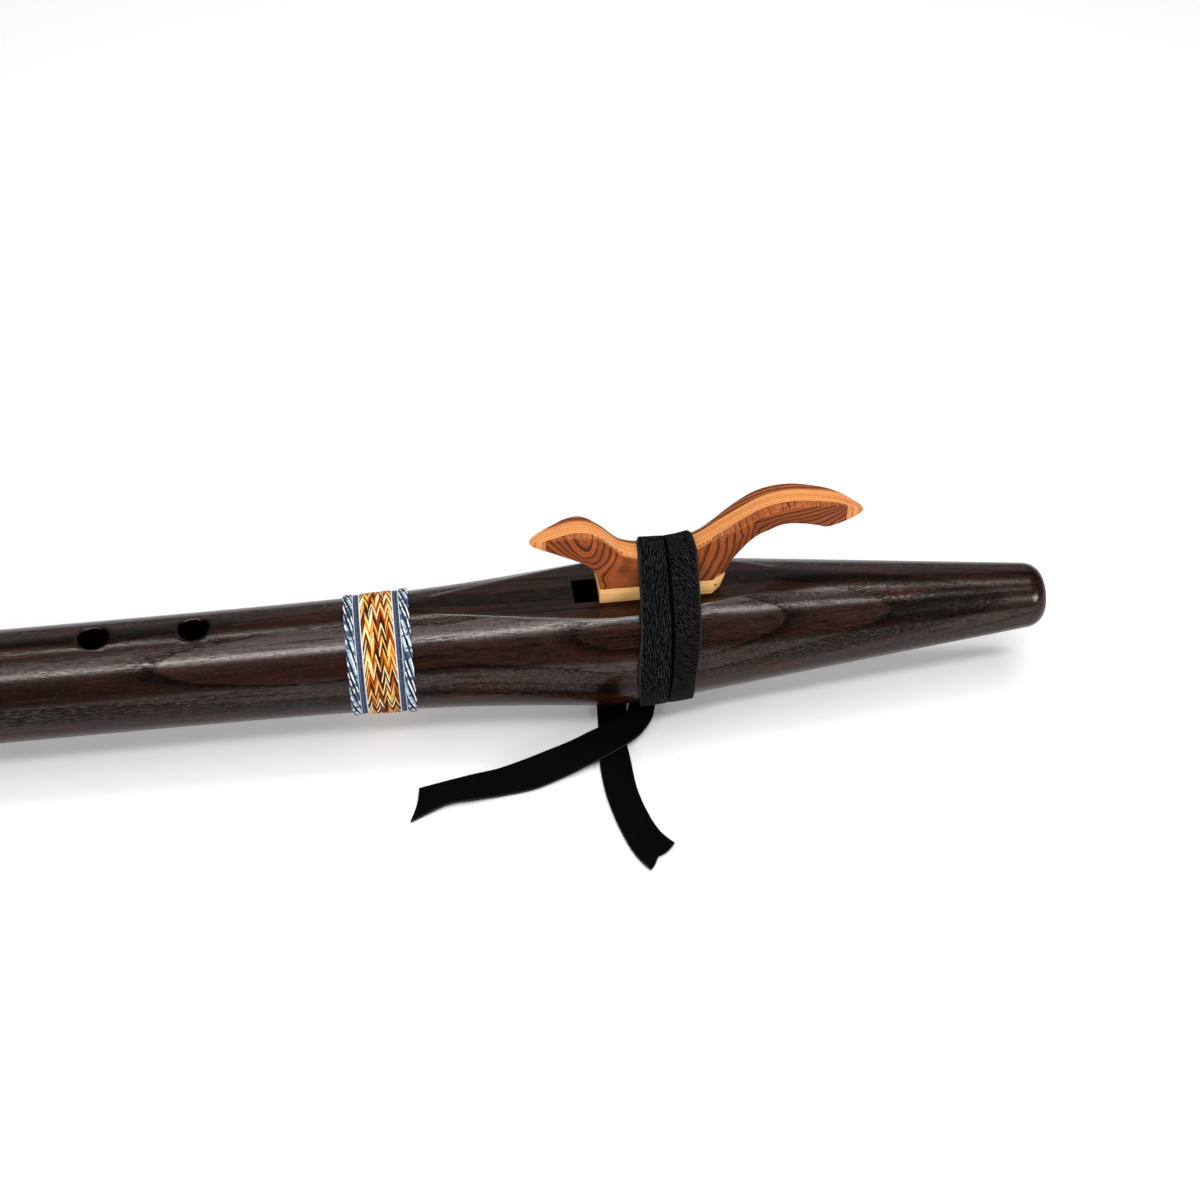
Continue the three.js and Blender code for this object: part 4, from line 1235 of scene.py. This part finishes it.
# %% Knot
knot_runs = [
    [[(15.8, -5.6, 1.4), (23.8, -5.6, 1.2)], [(15.9, -3.0, 1.3), (23.9, -3.0, 1.3)],
     [(16.2, 0.5, 1.6), (24.2, 0.5, 1.6)], [(16.8, 4.5, 1.7), (24.8, 4.5, 1.7)],
     [(17.4, 8.4, 1.8), (25.4, 8.4, 1.8)]],
    [[(6.0, -5.6, 0.8), (15.1, -5.6, 0.8)], [(6.4, -3.0, 0.9), (15.2, -3.0, 0.9)],
     [(7.2, 0.5, 1.6), (15.6, 0.5, 1.6)], [(8.6, 4.5, 1.7), (16.2, 4.5, 1.7)],
     [(10.4, 8.4, 1.8), (16.6, 8.4, 1.8)]],
    [[(5.8, 0.2, 1.9), (5.8, 8.0, 1.9)], [(6.3, 0.1, 0.9), (6.3, 8.2, 0.9)],
     [(8.6, 0.0, 0.52), (8.6, 8.3, 0.52)], [(16.0, -0.2, 0.52), (16.0, 8.2, 0.52)],
     [(24.4, -0.3, 0.52), (24.4, 8.0, 0.52)], [(26.4, -0.2, 0.9), (26.4, 7.9, 0.9)],
     [(26.9, 0.0, 1.9), (26.9, 7.8, 1.9)]],
    [[(18.0, -2.0, 2.3), (18.0, 6.2, 2.3)], [(26.0, -2.2, 2.3), (26.0, 6.1, 2.3)],
     [(31.0, -2.4, 2.7), (31.0, 5.9, 2.7)], [(36.6, -2.5, 3.4), (36.6, 5.8, 3.4)]],
]
knot_parts = [lace_tail(f"knot_run_{i}", run)[0] for i, run in enumerate(knot_runs)]
lace_knot = knot_parts[0]
with bpy.context.temp_override(active_object=lace_knot, selected_editable_objects=knot_parts,
                               object=lace_knot):
    bpy.ops.object.join()
lace_knot.name = "lace_knot"
face_outward(lace_knot)
finish(lace_knot, black_leather)

# %% [markdown]
# ## The woven band
# Nine cords lie side by side round the tube: two thick twisted ones at the edges, white threads,
# navy strips, and a wide braid of slanting stitches. They repeat and follow a circle, which is what
# Geometry Nodes are for. Each recipe copies one curve, bends every copy by its number, and gives
# the curves their thickness.


# %% Starting a recipe
def new_recipe(name, **kinds):
    """An underscore stands for a space in the name of a size."""
    tree = bpy.data.node_groups.new(name, "GeometryNodeTree")
    for label, kind in {**kinds, "Material": "Material"}.items():
        tree.interface.new_socket(label.replace("_", " "), in_out="INPUT",
                                  socket_type="NodeSocket" + kind)
    tree.interface.new_socket("Geometry", in_out="OUTPUT", socket_type="NodeSocketGeometry")
    return tree, *group_ends(tree)


def copies_of_line(tree, points, count):
    """Copies of one line; gives geometry, each point's copy and its number in the copy."""
    line = put(tree, "GeometryNodeCurvePrimitiveLine")
    line = put(tree, "GeometryNodeResampleCurve", {"Curve": line, "Count": points})
    copies = put(tree, "GeometryNodeDuplicateElements", {"Geometry": line, "Amount": count},
                 domain="SPLINE")
    number = put(tree, "GeometryNodeInputIndex")
    copy = maths("FLOOR", (number + 0.5) / points)
    return copies, copy, number - copy * points


def ring_point(x, angle, radius):
    return put(x.tree, "ShaderNodeCombineXYZ", {
        0: x, 1: maths("SINE", angle) * radius, 2: maths("COSINE", angle) * radius})


def finish_recipe(given, end, curves, place, thread, radius, closed):
    """Bend the curves into place, give them thickness, and end in real geometry with a material."""
    tree = curves.tree
    moved = put(tree, "GeometryNodeSetPosition", {"Geometry": curves, "Position": place})
    if closed:
        moved = put(tree, "GeometryNodeSetSplineCyclic", {"Geometry": moved, "Cyclic": True})
    kept = put(tree, "GeometryNodeStoreNamedAttribute",
               {"Geometry": moved, "Name": "thread", "Value": thread})
    profile = put(tree, "GeometryNodeCurvePrimitiveCircle", {"Resolution": 6, "Radius": radius})
    skin = put(tree, "GeometryNodeCurveToMesh", {"Curve": kept, "Profile Curve": profile,
                                                 "Fill Caps": not closed})
    real = put(tree, "GeometryNodeRealizeInstances", {0: skin})
    feed(end, {0: put(tree, "GeometryNodeSetMaterial",
                      {"Geometry": real, "Material": given["Material"]})})


# %% Recipe for twisted cords and straight threads
STRAND_POINTS, FULL_TURN = 180, 2 * math.pi
strands, given, end = new_recipe(
    "ring_of_strands", Strands="Int", Turns="Float", Place="Float", Width="Float", Depth="Float",
    Strand_Radius="Float", Ring_Radius="Float", Tones="Int")
copies, copy, step = copies_of_line(strands, STRAND_POINTS, given["Strands"])
share = step / STRAND_POINTS
own = (copy + 0.5) / given["Strands"]
wound = maths("GREATER_THAN", maths("ABSOLUTE", given["Turns"]), 0.5)
phase = share * given["Turns"] * FULL_TURN + own * FULL_TURN
half_reach = given["Width"] * 0.5 - given["Strand Radius"] * wound
twisted = maths("SINE", phase) * half_reach
laid = (own * 2 - 1) * half_reach
x = twisted * wound + laid * (1 - wound) + (given["Width"] * 0.5 + given["Place"])
radius = given["Ring Radius"] + maths("COSINE", phase) * given["Depth"] * wound
thread = (copy % given["Tones"] + 0.5) / given["Tones"]
finish_recipe(given, end, copies, ring_point(x, share * FULL_TURN, radius), thread,
              given["Strand Radius"], True)

# %% Recipe for the braid
STITCH_POINTS, STITCH_ARCH, TONE_STEPS = 7, 0.22, 4.9
stitches, given, end = new_recipe(
    "ring_of_stitches", Columns="Int", Rows="Int", Place="Float", Width="Float",
    Stitch_Length="Float", Stitch_Radius="Float", Ring_Radius="Float", Ring_Slope="Float",
    Tones="Int", Seed="Int")
copies, copy, step = copies_of_line(stitches, STITCH_POINTS, given["Columns"] * given["Rows"])
lean = step / (STITCH_POINTS - 1) - 0.5
row = maths("FLOOR", (copy + 0.5) / given["Columns"])
column = copy - row * given["Columns"]
side = column % 2 * -2 + 1
chance = put(stitches, "FunctionNodeRandomValue", {"ID": copy, "Seed": given["Seed"]}, 1,
             data_type="FLOAT")
jitter = (chance - 0.5) * 0.5
lane = column + 0.5 + side * lean * 1.02
x = given["Place"] + lane * (given["Width"] / given["Columns"])
ring = (x - given["Place"]) * given["Ring Slope"] + given["Ring Radius"]
angle = ((row + jitter) / given["Rows"] * FULL_TURN
         + lean * given["Stitch Length"] / given["Ring Radius"])
arch = maths("COSINE", lean * math.pi) * STITCH_ARCH
tone = (row + maths("FLOOR", chance * TONE_STEPS)) % given["Tones"]
finish_recipe(given, end, copies, ring_point(x, angle, ring + arch),
              (tone + 0.5) / given["Tones"], given["Stitch Radius"], False)


# %% Running a recipe
def run_recipe(name, tree, material, sizes):
    """Feed the named inputs, evaluate once, and keep a plain mesh in the shared frame."""
    piece = bpy.data.objects.new(name, bpy.data.meshes.new(name))
    scene_objects.link(piece)
    step = piece.modifiers.new(name, "NODES")
    step.node_group = tree
    for socket in tree.interface.items_tree:
        if socket.in_out == "INPUT":
            step[socket.identifier] = material if socket.name == "Material" else sizes[socket.name]
    apply_modifiers(piece)
    piece.data.transform(Matrix.Translation(into_frame((0, 0, 0))) @ Matrix.Scale(0.001, 4))
    face_outward(piece)
    finish(piece, material, 80)
    return piece


def strand_ring(name, material, place, width, count, radius, turns=0.0, depth=0.0, tones=1):
    ring = float(outer_radius(place + width / 2)) + 0.08 + radius + depth
    return run_recipe(name, strands, material, {
        "Strands": count, "Turns": turns, "Place": place, "Width": width, "Depth": depth,
        "Strand Radius": radius, "Ring Radius": ring, "Tones": tones})


def braid_ring(name, place, width):
    slope = float(outer_radius(place + width) - outer_radius(place)) / width
    return run_recipe(name, stitches, braid_yarn, {
        "Columns": 8, "Rows": 84, "Place": place, "Width": width, "Stitch Length": 5.2,
        "Stitch Radius": 0.2, "Ring Radius": float(outer_radius(place)) + 0.35,
        "Ring Slope": slope, "Tones": 6, "Seed": 7})


# %% Laying the band
BAND_PLACE, BAND_GAP = -65.2, 0.05
band_widths = {"cord": 2.6, "thread_outer": 0.3, "strip": 1.3, "thread_inner": 0.4, "braid": 8.8}
left_side = ["cord", "thread_outer", "strip", "thread_inner"]
band_row = ([(kind, f"{kind}_left") for kind in left_side] + [("braid", "braid")]
            + [(kind, f"{kind}_right") for kind in reversed(left_side)])
band_pieces = {}
x = BAND_PLACE
for kind, label in band_row:
    name, width = f"woven_{label}", band_widths[kind]
    if kind == "cord":
        piece = strand_ring(name, cord_yarn, x, width, 10, 0.26, -5.0, 0.13, 10)
    elif kind == "strip":
        piece = strand_ring(name, navy_yarn, x - 0.1, width + 0.2, 4, 0.21, tones=4)
    elif kind == "braid":
        piece = braid_ring(name, x, width)
    else:
        piece = strand_ring(name, white_yarn, x, width, 1, 0.52 * width)
    band_pieces[f"band_{label}"] = piece
    x += width + BAND_GAP

# %% [markdown]
# ## Floor, light and background
# The flute lies on white card, as in a product photograph. A wide lamp hangs above it, and two
# long narrow ones draw the bright lines along the tube, one on the camera's side of it and one
# beyond. Small lamps at the sides and a wide one at the back soften the shadow. The card ends just
# in front of the flute, because a dark lacquered tube mirrors what lies before it. Lamps and room
# together light the card to just white, so colours come out as they are written. The white beyond
# the card is for the camera only and adds no light.

# %% Floor
CARD_GLOW = 0.1
floor = bpy.data.objects.new("floor", bpy.data.meshes.new("floor"))
floor.data.from_pydata([(-3, -0.32, 0), (3, -0.32, 0), (3, 3, 0), (-3, 3, 0)], [],
                       [(0, 1, 2, 3)])
card, tree, shader = new_material("white_card", (250, 250, 250))
looked_at = maths("MAXIMUM", *(put(tree, "ShaderNodeLightPath", output=ray)
                               for ray in ("Is Camera Ray", "Is Glossy Ray")))
feed(shader, {"Base Color": (0.96, 0.96, 0.96, 1), "Emission Color": (1, 1, 1, 1),
              "Emission Strength": looked_at * CARD_GLOW, "Roughness": 0.9,
              "Specular IOR Level": 0.0})
floor.data.materials.append(card)
scene_objects.link(floor)

# %% Room
ROOM_LIGHT = 0.07
room = bpy.data.worlds.new("room")
room.use_nodes = True
bpy.context.scene.world = room
seen = put(room.node_tree, "ShaderNodeLightPath", output="Is Camera Ray")
feed(room.node_tree.nodes["Background"].inputs,
     {"Color": (1, 1, 1, 1), "Strength": seen * (1.0 - ROOM_LIGHT) + ROOM_LIGHT})

# %% Lamps
# Each row: name, place, size, and how white the lamp alone makes the card.
for name, place, size, share in (
    ("wide_above", (0.12, -0.14, 1.05), (1.3, 0.6), 0.38),
    ("strip_toward_camera", (0.1, -0.5, 0.95), (1.2, 0.14), 0.37),
    ("strip_toward_back", (0.1, 0.24, 1.0), (1.2, 0.05), 0.32),
    ("wide_at_the_back", (0.1, 0.85, 0.45), (1.2, 0.6), 0.08),
    ("front_side_left", (-1.07, -0.9, 0.52), (0.4, 0.4), 0.1),
    ("front_side_right", (1.13, -0.9, 0.52), (0.4, 0.4), 0.1),
):
    aim = Vector((0.03, 0.0, 0.02)) - Vector(place)
    data = bpy.data.lights.new(name, "AREA")
    data.shape, data.size, data.size_y = "RECTANGLE", size[0], size[1]
    data.energy = share * math.pi**2 * aim.length**3 / abs(aim.z)
    lamp = bpy.data.objects.new(name, data)
    lamp.location = place
    lamp.rotation_euler = aim.to_track_quat("-Z", "Y").to_euler()
    lamp.visible_camera = False
    scene_objects.link(lamp)
    print(f"{name}: {data.energy:.1f} W")
bpy.context.scene.view_settings.view_transform = "Standard"

# %% [markdown]
# ## What moves with what
# The bird can be slid along the nest with its lace; the tube carries the band. Every piece rides
# on one of these two bodies and stands for the CAD node that it dresses.

# %% Bodies, nodes and slots
dressed = [
    (tube_upper, "body", "body_upper_half", "body_wood"),
    (tube_lower, "body", "body_lower_half", "body_wood"),
    (bird_near, "bird", "bird_near_layer", "red_wood"),
    (bird_core, "bird", "bird_core_layer", "pale_orange_wood"),
    (bird_far, "bird", "bird_far_layer", "dark_red_wood"),
    (bird_base, "bird", "bird_base_plate", "pale_wood"),
    (lace_wrap, "bird", "strap_wrap", "black_leather"),
    (lace_knot, "bird", "strap_knot", "black_leather"),
    (left_tail, "bird", "strap_tail_left", "black_suede"),
    (right_tail, "bird", "strap_tail_right", "black_suede"),
]
slot_of = {row["node"]: row["material_slot"] for row in frame["record"]["subparts"]}
for node, piece in band_pieces.items():
    dressed.append((piece, "body", node, slot_of[node]))
for piece, body, node, slot in dressed:
    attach(piece, body)
    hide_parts(node)
print("pieces:", len(dressed))
